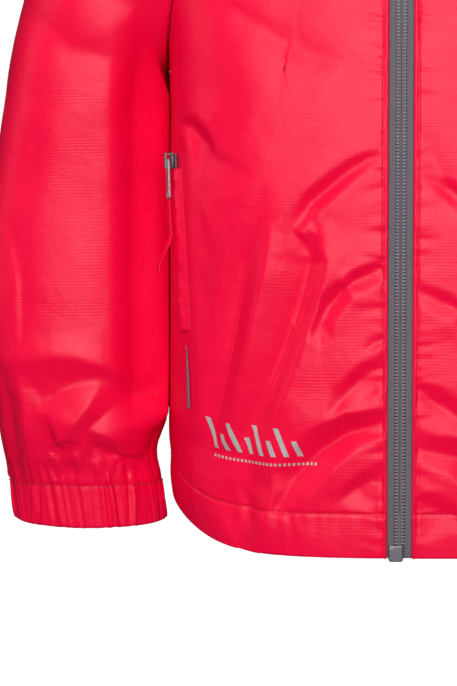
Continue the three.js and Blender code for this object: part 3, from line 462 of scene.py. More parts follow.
def gridMesh(name, points, uv, material, closed=False, middle=None):
    rows, cols = points.shape[:2]
    middle = points.mean(axis=(0, 1)) if middle is None else middle
    inwards = np.sum(faceDirections(points, closed) * (points - middle), axis=-1).mean() < 0
    across = cols if closed else cols - 1
    r, c = np.meshgrid(np.arange(rows - 1), np.arange(across), indexing="ij")
    r, c = r.ravel(), c.ravel()
    after = (c + 1) % cols
    corners = np.stack([r * cols + c, r * cols + after, (r + 1) * cols + after, (r + 1) * cols + c], 1)
    uvCols = uv.shape[1]
    first = r * uvCols + c
    uvCorners = np.stack([first, first + 1, first + uvCols + 1, first + uvCols], 1)
    if inwards:
        corners, uvCorners = corners[:, ::-1], uvCorners[:, ::-1]
    mesh = bpy.data.meshes.new(name)
    mesh.vertices.add(rows * cols)
    mesh.vertices.foreach_set("co", toWorld(points).astype(np.float32).ravel())
    mesh.loops.add(corners.size)
    mesh.loops.foreach_set("vertex_index", corners.astype(np.int32).ravel())
    mesh.polygons.add(len(corners))
    mesh.polygons.foreach_set("loop_start", np.arange(0, corners.size, 4, dtype=np.int32))
    mesh.polygons.foreach_set("use_smooth", np.ones(len(corners), bool))
    layer = mesh.uv_layers.new(name="cloth")
    layer.data.foreach_set("uv", (uv.reshape(-1, 2)[uvCorners.ravel()] * mm).astype(np.float32).ravel())
    mesh.update(calc_edges=True)
    mesh.validate()
    piece = bpy.data.objects.new(name, mesh)
    bpy.context.scene.collection.objects.link(piece)
    mesh.materials.append(material)
    return piece


# A thin shell: the wall goes inwards from the grid
def addWall(piece, thickness):
    wall = piece.modifiers.new("wall", "SOLIDIFY")
    wall.thickness = thickness * mm
    wall.offset = -1


# Lengths along the rows and columns of a grid, for the cloth's own map
def clothMap(points, closed=False):
    loop = np.concatenate([points, points[:, :1]], axis=1) if closed else points
    across = np.linalg.norm(np.diff(loop, axis=1), axis=-1)
    u = np.concatenate([np.zeros((len(points), 1)), np.cumsum(across, axis=1)], axis=1)
    if closed:
        u = np.broadcast_to(u.mean(axis=0), u.shape)
    up = np.linalg.norm(np.diff(loop, axis=0), axis=-1)
    v = np.concatenate([np.zeros((1, loop.shape[1])), np.cumsum(up, axis=0)], axis=0)
    return np.stack([u, v], -1)


def flatArea(points, closed=False):
    uv = clothMap(points, closed)
    across = np.diff(uv[..., 0], axis=1)[:-1]
    up = np.diff(uv[..., 1], axis=0)[:, : across.shape[1]]
    return float((across * up).sum()) * mm * mm


# Shader nodes. A Wire is a socket that takes part in plain expressions.
class Wire:
    def __init__(self, shader, socket):
        self.shader = shader
        self.socket = socket

    def maths(self, operation, *others):
        return self.shader.node("Math", {"operation": operation}, [self, *others])

    def __add__(self, other):
        return self.maths("ADD", other)

    def __sub__(self, other):
        return self.maths("SUBTRACT", other)

    def __mul__(self, other):
        return self.maths("MULTIPLY", other)

    def __truediv__(self, other):
        return self.maths("DIVIDE", other)

    def __rsub__(self, other):
        return self.shader.node("Math", {"operation": "SUBTRACT"}, [other, self])

    __radd__ = __add__
    __rmul__ = __mul__

    def sine(self):
        return self.maths("SINE")

    def fract(self):
        return self.maths("FRACT")

    def size(self):
        return self.maths("ABSOLUTE")

    def most(self, other):
        return self.maths("MAXIMUM", other)

    def wave(self, pitch):
        return (self * (2 * math.pi / pitch)).sine()

    def ramp(self, low, high, to=(0, 1)):
        inputs = {"Value": self, "From Min": low, "From Max": high, "To Min": to[0], "To Max": to[1]}
        return self.shader.node("MapRange", {"interpolation_type": "SMOOTHSTEP"}, inputs)


class Shader:
    def __init__(self, name):
        self.material = bpy.data.materials.new(name)
        self.material.use_nodes = True
        self.tree = self.material.node_tree
        self.tree.nodes.clear()
        self.surface = self.tree.nodes.new("ShaderNodeBsdfPrincipled")
        output = self.tree.nodes.new("ShaderNodeOutputMaterial")
        self.tree.links.new(self.surface.outputs[0], output.inputs["Surface"])

    def put(self, socket, value):
        if isinstance(value, Wire):
            self.tree.links.new(value.socket, socket)
        elif socket.type == "RGBA" and len(value) == 3:
            socket.default_value = (*value, 1)
        else:
            socket.default_value = value

    def node(self, kind, settings=None, inputs=(), output=0):
        made = self.tree.nodes.new("ShaderNode" + kind)
        for key, value in (settings or {}).items():
            setattr(made, key, value)
        pairs = inputs.items() if isinstance(inputs, dict) else enumerate(inputs)
        for key, value in pairs:
            self.put(made.inputs[key], value)
        return Wire(self, made.outputs[output])

    def mixColours(self, factor, a, b):
        made = self.tree.nodes.new("ShaderNodeMix")
        made.data_type = "RGBA"
        self.put(made.inputs[0], factor)
        self.put(made.inputs[6], a)
        self.put(made.inputs[7], b)
        return Wire(self, made.outputs[2])

    def noise(self, vector, scale, detail=2.0, rough=0.5):
        inputs = {"Vector": vector, "Scale": scale, "Detail": detail, "Roughness": rough}
        return self.node("TexNoise", None, inputs)

    def clothPlace(self):
        place = self.node("UVMap", {"uv_map": "cloth"})
        split = self.tree.nodes.new("ShaderNodeSeparateXYZ")
        self.put(split.inputs[0], place)
        return place, Wire(self, split.outputs[0]), Wire(self, split.outputs[1])

    def stretched(self, vector, scale):
        return self.node("Mapping", None, {"Vector": vector, "Scale": scale})

    def bump(self, height, distance, strength=1.0):
        return self.node("Bump", None, {"Height": height, "Distance": distance, "Strength": strength})

    def finish(self, **sockets):
        for name, value in sockets.items():
            self.put(self.surface.inputs[name.replace("_", " ")], value)
        return self.material


# The shell cloth: plain woven nylon with a thin coating, crosswise ribs and a soft shine
nylon = {
    "colour": (0.85, 0.0005, 0.044), "pale": (0.9, 0.0012, 0.054), "deep": (0.74, 0.0003, 0.034),
    "ribPitch": 0.0017, "ribHeight": 0.00005, "yarnPitch": 0.00042,
    "crumple": 0.0009, "crumpleScale": 75, "roughness": 0.34, "shine": 0.2,
}
# The print: slanted bars and a row of dots, silver grey, on the right front
motif = {
    "across": (0.040, 0.100), "foot": 0.047, "pitch": 0.0072, "bars": 8, "barHalf": 0.0013,
    "barFoot": 0.0078, "barTops": (0.0165, 0.0235), "slant": 0.45, "tilt": -0.03, "edge": 0.0002,
    "dotPitch": 0.0024, "dotHeight": 0.0035, "colour": (0.5, 0.48, 0.48), "bright": (0.66, 0.63, 0.62),
}


def motifMask(s, u, v):
    x = u - motif["across"][0]
    y = v - motif["foot"] - x * motif["tilt"]
    width = motif["across"][1] - motif["across"][0]
    lean = x - y * motif["slant"]
    cell = (lean / motif["pitch"]).fract() - 0.5
    count = (lean / motif["pitch"]).maths("FLOOR")
    edge = motif["edge"]
    tall = (count * 0.5).fract().ramp(0.2, 0.3, motif["barTops"])
    bar = (cell.size() * motif["pitch"]).ramp(motif["barHalf"], motif["barHalf"] + edge, (1, 0))
    inBar = bar * y.ramp(motif["barFoot"], motif["barFoot"] + edge) * (tall - y).ramp(0, edge)
    dots = ((x / motif["dotPitch"]).fract() - 0.5).size().ramp(0.24, 0.3, (1, 0))
    dots = dots * (y - motif["dotHeight"]).size().ramp(0.0006, 0.0008, (1, 0))
    barsHere = (lean + 0.0004).ramp(0.0, edge) * (motif["bars"] * motif["pitch"] - lean).ramp(0.0, edge)
    dotsHere = (x + 0.002).ramp(0.0, edge) * (width - x).ramp(0.0, edge)
    return (inBar * barsHere).most(dots * dotsHere)


def nylonCloth(name, printed=False):
    s = Shader(name)
    place, u, v = s.clothPlace()
    streaks = s.noise(s.stretched(place, (90, 1500, 1)), 1.0, 3.0)
    drift = s.noise(s.stretched(place, (18, 60, 1)), 1.0, 2.0)
    ribs = (v * (2 * math.pi / nylon["ribPitch"]) + drift * 5).sine()
    yarn = u.wave(nylon["yarnPitch"]) * v.wave(nylon["yarnPitch"])
    objectPlace = s.node("TexCoord", None, (), 3)
    crumple = s.noise(objectPlace, nylon["crumpleScale"], 3.0, 0.55)
    cloud = s.noise(objectPlace, 14, 2.0)
    shade = (streaks * 0.55 + cloud * 0.45).ramp(0.3, 0.72)
    colour = s.mixColours(shade, nylon["deep"], nylon["pale"])
    colour = s.mixColours(0.72, colour, nylon["colour"])
    ribShow = drift.ramp(0.35, 0.7)
    height = ribs * ribShow * 0.55 + streaks * 0.35 + yarn * 0.22
    bumped = s.bump(crumple, nylon["crumple"], 0.55)
    relief = {"Height": height, "Distance": nylon["ribHeight"], "Strength": 0.8, "Normal": bumped}
    fine = s.node("Bump", None, relief)
    roughness = (nylon["roughness"] - 0.03, nylon["roughness"] + 0.05)
    rough = (streaks * 0.4 + cloud * 0.6).ramp(0.3, 0.7, roughness)
    metal = None
    if printed:
        mask = motifMask(s, u, v)
        grain = s.noise(place, 5200, 1.0)
        silver = s.mixColours(grain, motif["colour"], motif["bright"])
        colour = s.mixColours(mask, colour, silver)
        rough = mask.ramp(0, 1, (0, 0.34)) + rough * (1 - mask)
        metal = mask * 0.35
    material = s.finish(Base_Color=colour, Roughness=rough, Normal=fine)
    s.put(s.surface.inputs["Specular IOR Level"], nylon["shine"])
    if metal is not None:
        s.put(s.surface.inputs["Metallic"], metal)
    return material


# Knitted zip tape: slanted ribs across it, slightly furry, with painted shadow in the gaps between the coil's
# stitches beside the coil
tapeFinish = {
    "colour": (0.19, 0.165, 0.195), "dark": (0.045, 0.04, 0.05), "pitch": 0.0009, "relief": 0.00014,
    "walePitch": 0.00095, "slantPitch": 0.0021, "worn": (0.2, 0.175, 0.2),
    # the last four: painted shadow, dark dashes in the gaps between the coil's stitches
    "gapShadowPitch": 0.00178, "gapShadowPlace": 0.0021, "gapShadowHalf": 0.0011, "gapShadow": (0.014, 0.012, 0.016),
}


def zipTapeCloth():
    s = Shader("zip_tape_knit")
    place, u, v = s.clothPlace()
    slant = (v * (2 * math.pi / tapeFinish["pitch"]) + u.wave(tapeFinish["slantPitch"]) * 1.6).sine()
    wale = u.wave(tapeFinish["walePitch"])
    fuzz = s.noise(place, 2600, 3.0)
    weave = slant * 0.5 + wale * 0.35 + fuzz * 0.8
    colour = s.mixColours(weave.ramp(-0.5, 1.2), tapeFinish["dark"], tapeFinish["colour"])
    worn = s.noise(place, 70, 2.0)
    colour = s.mixColours(worn * 0.25, colour, tapeFinish["worn"])
    # Painted shadow: near-black dashes beside the coil, one in each gap between the coil's stitches
    gapShadowHalf = tapeFinish["gapShadowHalf"]
    besideCoil = (u - tapeFinish["gapShadowPlace"]).size().ramp(gapShadowHalf * 0.6, gapShadowHalf, (1, 0))
    gapShadows = (v * (2 * math.pi / tapeFinish["gapShadowPitch"]) + 1.2).sine().ramp(-0.3, 0.5) * besideCoil
    colour = s.mixColours(gapShadows * 0.85, colour, tapeFinish["gapShadow"])
    return s.finish(Base_Color=colour, Roughness=0.78, Normal=s.bump(weave, tapeFinish["relief"], 0.9))


def threadCloth(name, colour, pale):
    s = Shader(name)
    place = s.node("TexCoord", None, (), 3)
    twist = s.noise(place, 2400, 2.0)
    twisted = s.mixColours(twist, colour, pale)
    return s.finish(Base_Color=twisted, Roughness=0.75, Normal=s.bump(twist, 0.00008, 0.8))


# Zip metal with a thin grey finish, rubbed brighter here and there
def zipMetal(name, colour, bright, roughness):
    s = Shader(name)
    place = s.node("TexCoord", None, (), 3)
    cloud = s.noise(place, 420, 3.0)
    grain = s.noise(s.stretched(place, (900, 900, 5200)), 1.0, 2.0)
    rubbed = s.noise(place, 190, 4.0, 0.6).ramp(0.52, 0.7)
    colour = s.mixColours(rubbed * 0.7 + cloud * 0.2, colour, bright)
    rough = grain.ramp(0.3, 0.7, (roughness - 0.06, roughness + 0.08))
    normal = s.bump(grain * 0.6 + cloud * 0.4, 0.00004, 0.6)
    return s.finish(Base_Color=colour, Roughness=rough, Metallic=0.85, Normal=normal)


# Reflective tape: silver grey with a fine bead grain
reflector = {"dark": (0.13, 0.05, 0.075), "pale": (0.34, 0.22, 0.28), "ribPitch": 0.0016, "beadScale": 3600}


def reflectiveCloth():
    s = Shader("reflective_tape")
    place, u, v = s.clothPlace()
    beads = s.node("TexVoronoi", {"feature": "F1"}, {"Vector": place, "Scale": reflector["beadScale"]})
    flecks = s.noise(place, 900, 2.0)
    ribs = v.wave(reflector["ribPitch"]).ramp(-0.6, 0.6)
    shade = flecks.ramp(0.35, 0.65) * 0.5 + ribs * 0.4
    colour = s.mixColours(shade, reflector["dark"], reflector["pale"])
    return s.finish(Base_Color=colour, Roughness=0.5, Metallic=0.1, Normal=s.bump(beads, 0.00008, 0.7))


shell = nylonCloth("shell_nylon")
shellPrinted = nylonCloth("shell_nylon_printed", printed=True)
tapeKnit = zipTapeCloth()
redThread = threadCloth("red_thread", (0.42, 0.001, 0.012), (0.64, 0.004, 0.032))
greyThread = threadCloth("grey_thread", (0.2, 0.175, 0.2), (0.36, 0.32, 0.36))
coilPlastic = threadCloth("zip_coil_plastic", (0.1, 0.09, 0.11), (0.2, 0.18, 0.21))
hardware = zipMetal("zip_metal", (0.17, 0.165, 0.18), (0.4, 0.39, 0.41), 0.42)
pullMetal = zipMetal("pull_metal", (0.42, 0.41, 0.43), (0.7, 0.68, 0.7), 0.3)
reflective = reflectiveCloth()
print("finishes ready")


# Panels
panel = {
    "wall": 0.7, "zipStitch": 2.7, "hemStitch": 24, "spacing": 1.8,
    "seamSink": 1.0, "seamReach": 1.7, "edgeRoll": 1.2, "uneven": 1.1, "pucker": 0.75,
    "facets": 1.65,
}
zipEdge = [0, 0.15, 0.4, 0.8, 1.3, 1.9, 2.3, 2.7, 3.1, 3.6, 4.4, 5.6]
seamEdge = [0.15, 0.7, 1.4, 2.3, 3.4, 4.8]
hemEdge = [
    0, 0.2, 0.5, 1.0, 1.7, 2.8, 4.4, 6.2, 8, 9.8, 11.6, 13.4, 15.2, 17, 18.8, 20.4, 21.6, 22.5, 23.2, 24,
    24.8, 25.6, 26.6, 28, 29.8,
]


# How far a point at a distance from an edge sinks, where the edge is a seam or a rolled fold
def seamDip(distance):
    return -panel["seamSink"] * np.exp(-((distance / panel["seamReach"]) ** 2))


def rolledDip(distance, radius):
    inside = np.clip(1 - distance / radius, 0, 1)
    return -radius * (1 - np.sqrt(1 - inside**2))


def stitchDip(distance, depth=0.45, reach=0.8):
    return -depth * np.exp(-((distance / reach) ** 2))


# Short puckers across a line of stitches, uneven in length and depth
def puckers(along, across, seed, pitch=7.0, up=9.0, down=16.0, broad=1.0):
    pick = np.random.default_rng(seed)
    total = np.zeros(np.broadcast(along, across).shape)
    place = along.min()
    end = along.max()
    while place < end:
        place += pitch * pick.uniform(0.45, 1.7)
        lean = pick.uniform(-0.35, 0.35)
        depth = pick.uniform(0.25, 1) * (-1 if pick.random() < 0.75 else 0.6)
        width = pick.uniform(1.4, 3.2) * broad
        high = up * pick.uniform(0.4, 1.4)
        low = down * pick.uniform(0.4, 1.1)
        offset = (along - place - across * lean) / width
        fade = np.exp(-((np.where(across > 0, across / high, across / low)) ** 2))
        total += depth * fade * np.exp(-(offset**2))
    return total * panel["pucker"]


# The pocket opening on a front, as heights and shares of the half width
pocket = {
    "topShare": 0.958, "topHeight": 214, "endShare": 0.918, "endHeight": 118, "zipWidth": 4.4,
    "lipWidth": 6, "lipFront": 8.5, "zipLift": 0.4, "lipLift": 2.3,
    "stripeFrom": 1.07, "stripeTo": 1.43, "stripeTop": 0.5, "stripeEnd": 2.5, "stripeAside": -3.6,
    "zipEnd": 0.965, "lipStart": 0.085, "lipEnd": 0.985, "lipStitch": 4, "depth": 60,
}


def pocketLine(t):
    height = mix(pocket["topHeight"], pocket["endHeight"], t)
    share = mix(pocket["topShare"], pocket["endShare"], t)
    return share * torsoAt("halfWidth", height), height


def nearPocket(x, height):
    t = (pocket["topHeight"] - height) / (pocket["topHeight"] - pocket["endHeight"])
    t = np.clip(t, 0, pocket["stripeTo"])
    lineX, lineHeight = pocketLine(t)
    return np.hypot((np.abs(x) - lineX) * 1.6, height - lineHeight)


# One front: the folds of its table, its seams and edges, and the puckers at the hem
def frontPanel(side):
    columns = columnShares(front, cut["zipHalf"], zipEdge, seamEdge, panel["spacing"])
    points = halfPanel(front, cut["zipHalf"], columns, hemEdge, seamEdge, panel["spacing"])
    points[..., 0] *= side
    uv = clothMap(points)
    fromZip, fromHem = uv[..., 0], uv[..., 1]
    fromSide = uv[:, -1:, 0] - fromZip
    fromTop = uv[-1:, :, 1] - fromHem
    x, height = points[..., 0], points[..., 2]
    flatX, lower, share = (x, height, 1) if side == right else (-0.9 * x, height + 13, 0.7)
    folds = allFolds(x, height, frontFolds[side])
    folds += facetDepth(flatX, lower, frontFacets) * share * panel["facets"]
    wavy = unevenness(x, height, 11 + side, panel["uneven"])
    wavy += unevenness(x * 2.4, height * 2.4, 31 + side, 0.5, 14)
    calm = smooth(fromSide / 20) * smooth(fromTop / 22) * smooth(nearPocket(x, height) / 10 - 1.1)
    out = (folds + wavy * smooth(fromZip / 16) * mix(0.35, 1, smooth(fromHem / 30))) * calm
    out = np.maximum(out, -1.0 - 0.32 * fromZip)
    hemPull = puckers(x, fromHem - panel["hemStitch"], 5 + side) * smooth(fromZip / 8) * smooth(fromSide / 8)
    out += hemPull + stitchDip(fromHem - panel["hemStitch"], 0.6, 0.7)
    out += 0.35 * np.sin(np.clip(fromHem / panel["hemStitch"], 0, 1) * math.pi)
    out += rolledDip(fromZip, panel["edgeRoll"]) + rolledDip(fromHem, 0.9)
    out += stitchDip(fromZip - panel["zipStitch"], 0.5, 0.55) + 0.25 * np.exp(-(((fromZip - 1.6) / 0.7) ** 2))
    zipPull = puckers(height, fromZip - panel["zipStitch"], 8 + side, 5.5, 8, 1.6, 0.62) * 1.15
    out += zipPull * smooth(fromHem / 12)
    out += seamDip(fromSide) + seamDip(fromTop)
    facing = outwardFrom(points, np.array([0, 0, 0]) + points * [0, 0, 1])
    points = points + facing * out[..., None]
    return points, uv


def backPanel():
    columns = columnShares(back, 0.001, [0, 1.2], seamEdge, panel["spacing"] * 1.4)
    half = halfPanel(back, 0.001, columns, hemEdge, seamEdge, panel["spacing"] * 1.4)
    points = np.concatenate([(half * [-1, 1, 1])[:, ::-1], half[:, 1:]], axis=1)
    points[:, len(columns) - 1, 0] = 0
    uv = clothMap(points)
    across, fromHem = uv[..., 0], uv[..., 1]
    fromSide = np.minimum(across, uv[:, -1:, 0] - across)
    fromTop = uv[-1:, :, 1] - fromHem
    x, height = points[..., 0], points[..., 2]
    wavy = unevenness(x, height, 19, panel["uneven"])
    wavy += unevenness(x * 2.2, height * 2.2, 41, 0.5, 14)
    calm = smooth(fromSide / 26) * smooth(fromTop / 22)
    out = (allFolds(x, height, backFolds) + wavy * mix(0.35, 1, smooth(fromHem / 30))) * calm
    out += puckers(x, fromHem - panel["hemStitch"], 23) * smooth(fromSide / 8)
    out += stitchDip(fromHem - panel["hemStitch"]) + rolledDip(fromHem, 0.9)
    out += 0.35 * np.sin(np.clip(fromHem / panel["hemStitch"], 0, 1) * math.pi)
    out += seamDip(fromSide) + seamDip(fromTop)
    facing = outwardFrom(points, points * [0, 0, 1])
    return points + facing * out[..., None], uv


# Sleeves
tube = {
    "around": 240, "wall": 0.7, "turnFrom": 158, "turnOver": 24, "turnBack": 9, "bottomSag": 2.4,
    "gatherDepth": 1.5, "gatherReach": 20, "casingAround": 360, "casingWall": 0.8,
    "seamHeight": 31.6, "seamShare": 0.72, "seamSink": 0.3, "stitchRise": 0.5,
    "bodyGap": 0.35, "bodyReach": 10, "frontDeep": 26, "frontSquare": 3.5, "farShare": 0.85,
}


# Round the sleeve from its seam on the body side, through the back, the outer side and the front
def aroundShares(count):
    return (np.arange(count) / count + 0.5) % 1


def slantedGather(around, height, seed):
    pick = np.random.default_rng(seed)
    lean = sum(
        pick.uniform(0.2, 0.6) * np.sin(2 * math.pi * (around * k + pick.random())) for k in (3, 5, 8, 13)
    )
    drift = 0.006 * np.sin(2 * math.pi * around * 9 + 1) + 0.004 * np.sin(2 * math.pi * around * 14)
    wave = gather(around + drift + (height - 22) * lean * 0.0008)
    fine = 0.16 * np.sin(2 * math.pi * (around * 61 + (height - 20) * 0.004))
    strength = 0.8 + 0.4 * np.sin(2 * math.pi * (around * 6 + 0.3)) + 0.4 * np.sin(2 * math.pi * around * 17)
    return (wave**0.7 + fine) * np.clip(strength, 0.15, 1.4)


# How far the gathers stand out at a height: least at the stitch line, full below it, fading above
def gatherReachAt(height):
    above = np.clip((height - tube["seamHeight"]) / tube["gatherReach"], 0, 1)
    below = np.clip((tube["seamHeight"] - height) / (tube["seamHeight"] - cut["casingEnd"]), 0, 1)
    rise = np.minimum(1, above / 0.2)
    over = (tube["seamShare"] + 0.45 * smooth(rise)) * (1 - above) ** 1.5
    under = tube["seamShare"] + (1 - tube["seamShare"]) * np.sin(below * math.pi) ** 0.8
    return np.where(height > tube["seamHeight"], over, under)


def gathered(around, height, side):
    wave = slantedGather(around, height, 3 + side)
    sink = tube["seamSink"] * np.exp(-(((height - tube["seamHeight"]) / 1.3) ** 2))
    return wave * tube["gatherDepth"] * gatherReachAt(height) - sink


# The sleeve's body side lies along the body, just clear of it: how far each point moves towards the body
def towardsBody(points, angle):
    height = np.clip(points[..., 2], 0, 300)
    square = torsoAt("square", height)
    depth = np.where(points[..., 1] < 0, torsoAt("front", height), torsoAt("back", height))
    share = np.clip(np.abs(points[..., 1]) / depth, 0, 0.999)
    bodyX = torsoAt("halfWidth", height) * (1 - share**square) ** (1 / square)
    room = points[..., 0] - bodyX - tube["bodyGap"]
    facing = smooth((-np.cos(angle) - 0.66) / 0.3) * smooth((points[..., 2] - 58) / 14)
    beside = smooth((-np.cos(angle) - 0.1) / 0.2)
    return np.where(room > 0, np.minimum(room, tube["bodyReach"]) * facing, room * beside)


# The outer half of the sleeve's front is flatter than an ellipse: how far each point moves forward
def squarePush(angle):
    wide = np.abs(np.cos(angle))
    squared = (1 - wide ** tube["frontSquare"]) ** (1 / tube["frontSquare"])
    outerFront = (np.sin(angle) > 0) & (np.cos(angle) > 0)
    return tube["frontDeep"] * np.where(outerFront, squared - np.sin(angle), 0)


def sleevePanel(side):
    around = aroundShares(tube["around"])
    rows = np.concatenate([
        [0, 0.0015, 0.0035, 0.006, 0.01, 0.015], np.linspace(0.021, 0.74, 78), np.linspace(0.747, 0.985, 56),
        [0.9885, 0.9915, 0.994, 0.9965, 0.999, 1.0005, 1.002],
    ])
    points = sleeveTube(around, rows)
    height = points[..., 2]
    x = -points[..., 0]
    uv = clothMap(points, True)
    angle = 2 * math.pi * around[None, :] + 0 * rows[:, None]
    frontShare = smooth((np.sin(angle) + 0.25) / 0.7)
    facingBody = smooth((-np.cos(angle) - 0.35) / 0.4)
    shift = 0 if side == right else 5
    nearX, nearHeight = x + shift * 0.6, height + shift
    near = allFolds(nearX, nearHeight, sleeveFolds) + facetDepth(nearX, nearHeight, sleeveFacets)
    farX, farHeight = -x - 352, height - 4
    far = allFolds(farX, farHeight, sleeveFolds) + facetDepth(farX, farHeight, sleeveFacets)
    far = far * tube["farShare"]
    wavy = unevenness(x + 300 * (1 - frontShare), height, 51 + side, 0.9)
    wavy += unevenness(x * 2.3 + 90 * (1 - frontShare), height * 2.3, 71 + side, 0.5, 14)
    turned = smooth((x + tube["turnFrom"]) / tube["turnOver"])
    turned *= smooth((height - 60) / 40) * smooth((300 - height) / 60)
    fromArmhole = uv[:, :-1, 1].copy()
    # The weft runs level with the cuff
    uv[..., 1] += uv[-1, :, 1].max() - uv[-1:, :, 1]
    ends = smooth(fromArmhole / 26) * smooth((height - cut["casingTop"] + 1) / 9)
    turned *= tube["turnBack"] * np.abs(np.sin(angle)) ** 0.7
    out = (mix(far, near, frontShare) + wavy - turned) * ends
    out += gathered(around[None, :], height, side) * (1 - 0.5 * facingBody * smooth((height - 34) / 6))
    out += seamDip(fromArmhole)
    out = mix(out, np.minimum(out, 0.4), facingBody)
    middle = points.mean(axis=1, keepdims=True)
    facing = outwardFrom(points, middle, True)
    points = points + facing * out[..., None]
    points[..., 0] -= towardsBody(points, angle) * ends
    points[..., 1] -= squarePush(angle) * ends * smooth((height - 60) / 50) * smooth((320 - height) / 60)
    points[..., 0] *= side
    return points, uv


def casing(side):
    around = aroundShares(tube["casingAround"])
    height = np.concatenate([
        [31.6, 31.2, 30.8, 30.2, 29.4], np.linspace(28, 14, 11), [12.8, 11.8, 11, 10.4, 10.1, 10],
    ])
    seam, end = sleeve["innerHeight"][9], sleeve["innerHeight"][10]
    row = 9 + (seam - height[:, None]) / (seam - end)
    angle = 2 * math.pi * around[None, :]
    points = sleeveSection(row, angle)
    uv = clothMap(points, True)
    middle = points.mean(axis=1, keepdims=True)
    away = (points - middle) * [1, 1, 0]
    away = away / np.linalg.norm(away, axis=-1, keepdims=True)
    fromEnd = height[:, None] - end
    wave = slantedGather(around[None, :], height[:, None], 3 + side)
    out = gathered(around[None, :], height[:, None], side) + rolledDip(fromEnd, 1.2)
    points = points + away * out[..., None]
    atEnd = np.exp(-((fromEnd / 3) ** 2))
    sag = tube["bottomSag"] * np.clip(np.sin(angle), 0, 1) ** 0.8 * (1 - smooth(fromEnd / 16))
    points[..., 2] += (0.4 * (wave - 0.6) + 0.3) * atEnd - sag
    points[..., 0] *= side
    return points, uv


# Collar: one band from the right edge of the zip round the back to the left edge
band = {
    "height": 44, "sideDip": 12, "wall": 1.4, "leanIn": 4, "bulge": 1.5,
    "seamGap": 0.3, "topStitch": 4.0, "seamUnder": 0.9, "stitchRise": 0.1,
    "middle": np.array([0, -6, 0]),
}


def neckPoint(face, x):
    drop = cut["frontDrop"] if face == front else cut["backDrop"]
    power = cut["neckRound"]
    slope = drop * power * (np.abs(x) / cut["neckHalf"]) ** (power - 1) / cut["neckHalf"]
    inwards = np.stack([-np.sign(x) * slope, 0 * x, 1 + 0 * x], -1)
    inwards /= np.linalg.norm(inwards, axis=-1, keepdims=True)
    return torsoSurface(face, x, topEdge(face, x)) + inwards * band["seamGap"]


def collarPoint(face, x, rise, inset=0.0):
    foot = neckPoint(face, x)
    away = foot * [1.05, 1, 0] + [0, 9, 0]
    away /= np.linalg.norm(away, axis=-1, keepdims=True)
    lean = -band["leanIn"] * rise + band["bulge"] * np.sin(rise * math.pi)
    height = band["height"] - band["sideDip"] * (np.abs(x) / cut["neckHalf"]) ** 3
    point = foot + away * (lean - inset)[..., None]
    point[..., 2] += height * rise
    return point


def collarBand():
    share = np.sin(np.linspace(0, math.pi / 2, 46))
    frontX = mix(cut["zipHalf"], cut["neckHalf"], share)
    backX = cut["neckHalf"] * np.sin(np.linspace(math.pi / 2, 0, 52))
    xs = np.concatenate([-frontX, -backX[1:], backX[::-1][1:], frontX[::-1][1:]])
    faces = np.array([front] * len(frontX) + [back] * (2 * len(backX) - 3) + [front] * len(frontX))
    rises = np.concatenate([
        [-0.07, -0.045, -0.025, -0.01, 0, 0.01, 0.025, 0.05], np.linspace(0.08, 0.86, 20),
        [0.885, 0.91, 0.935, 0.96, 0.98, 0.993, 1],
    ])
    columns = [
        collarPoint(face, np.full(len(rises), x), rises) for face, x in zip(faces, xs)
    ]
    points = np.stack(columns, axis=1)
    uv = clothMap(points)
    across, up = uv[..., 0], uv[..., 1]
    fromEnd = np.minimum(across, uv[:, -1:, 0] - across)
    fromTop = uv[-1:, :, 1] - up
    out = unevenness(across, up * 2, 61, 0.8) * smooth(fromEnd / 20) * smooth(up / 12)
    out += puckers(across, up, 67, 11, 9, 3) * smooth(fromEnd / 8)
    foot = rises[:, None] * band["height"]
    out += seamDip(np.maximum(foot, 0)) * 0.6 + rolledDip(fromTop, 1.3) + rolledDip(fromEnd, 1.2)
    out -= band["seamUnder"] * smooth(-foot / 0.9)
    out += stitchDip(fromTop - band["topStitch"]) + stitchDip(fromEnd - panel["zipStitch"], 0.35, 0.6)
    facing = outwardFrom(points, band["middle"] + points * [0, 0, 1])
    return points + facing * out[..., None], uv


print("panel shapes ready")


# Zip: the front line up beside the middle, from the hem to the collar's top
zipSize = {
    "tapeDepth": 2.9, "tapeWall": 0.64, "coilDepth": 4.0, "coilWall": 1.9, "turnPitch": 1.78,
    "turnAside": 1.1, "turnAlong": 2.2, "turnAcross": 4.8, "turnHigh": 2.2,
    "ribAside": 1.8, "ribAcross": 1.75, "ribAlong": 0.95, "ribHigh": 0.5,
    "boxTop": 7.6, "throatHalf": 1.75, "throatBelow": 12.4,
}


def torsoFacing(face, x, height):
    e = 1e-3
    across = torsoSurface(face, x + e, height) - torsoSurface(face, x - e, height)
    up = torsoSurface(face, x, height + e) - torsoSurface(face, x, height - e)
    normal = np.cross(across, up)
    normal /= np.linalg.norm(normal, axis=-1, keepdims=True)
    return np.where(normal[..., 1:2] * face < 0, -normal, normal)


# Points up the front at x and a depth behind the cloth's face
def frontLine(x, depth, step=1.0):
    seat = max(cut["zipHalf"], abs(x))
    top = float(topEdge(front, np.array(cut["zipHalf"]))) - 3
    heights = np.linspace(0, top, round(top / step))
    seats = np.full(len(heights), float(seat))
    low = torsoSurface(front, seats, heights) - torsoFacing(front, seats, heights) * depth
    rises = np.linspace(0.06, 1, round(band["height"] / step))
    high = collarPoint(front, np.full(len(rises), float(seat)), rises, depth)
    line = np.concatenate([low, high])
    line[:, 0] = x
    return line


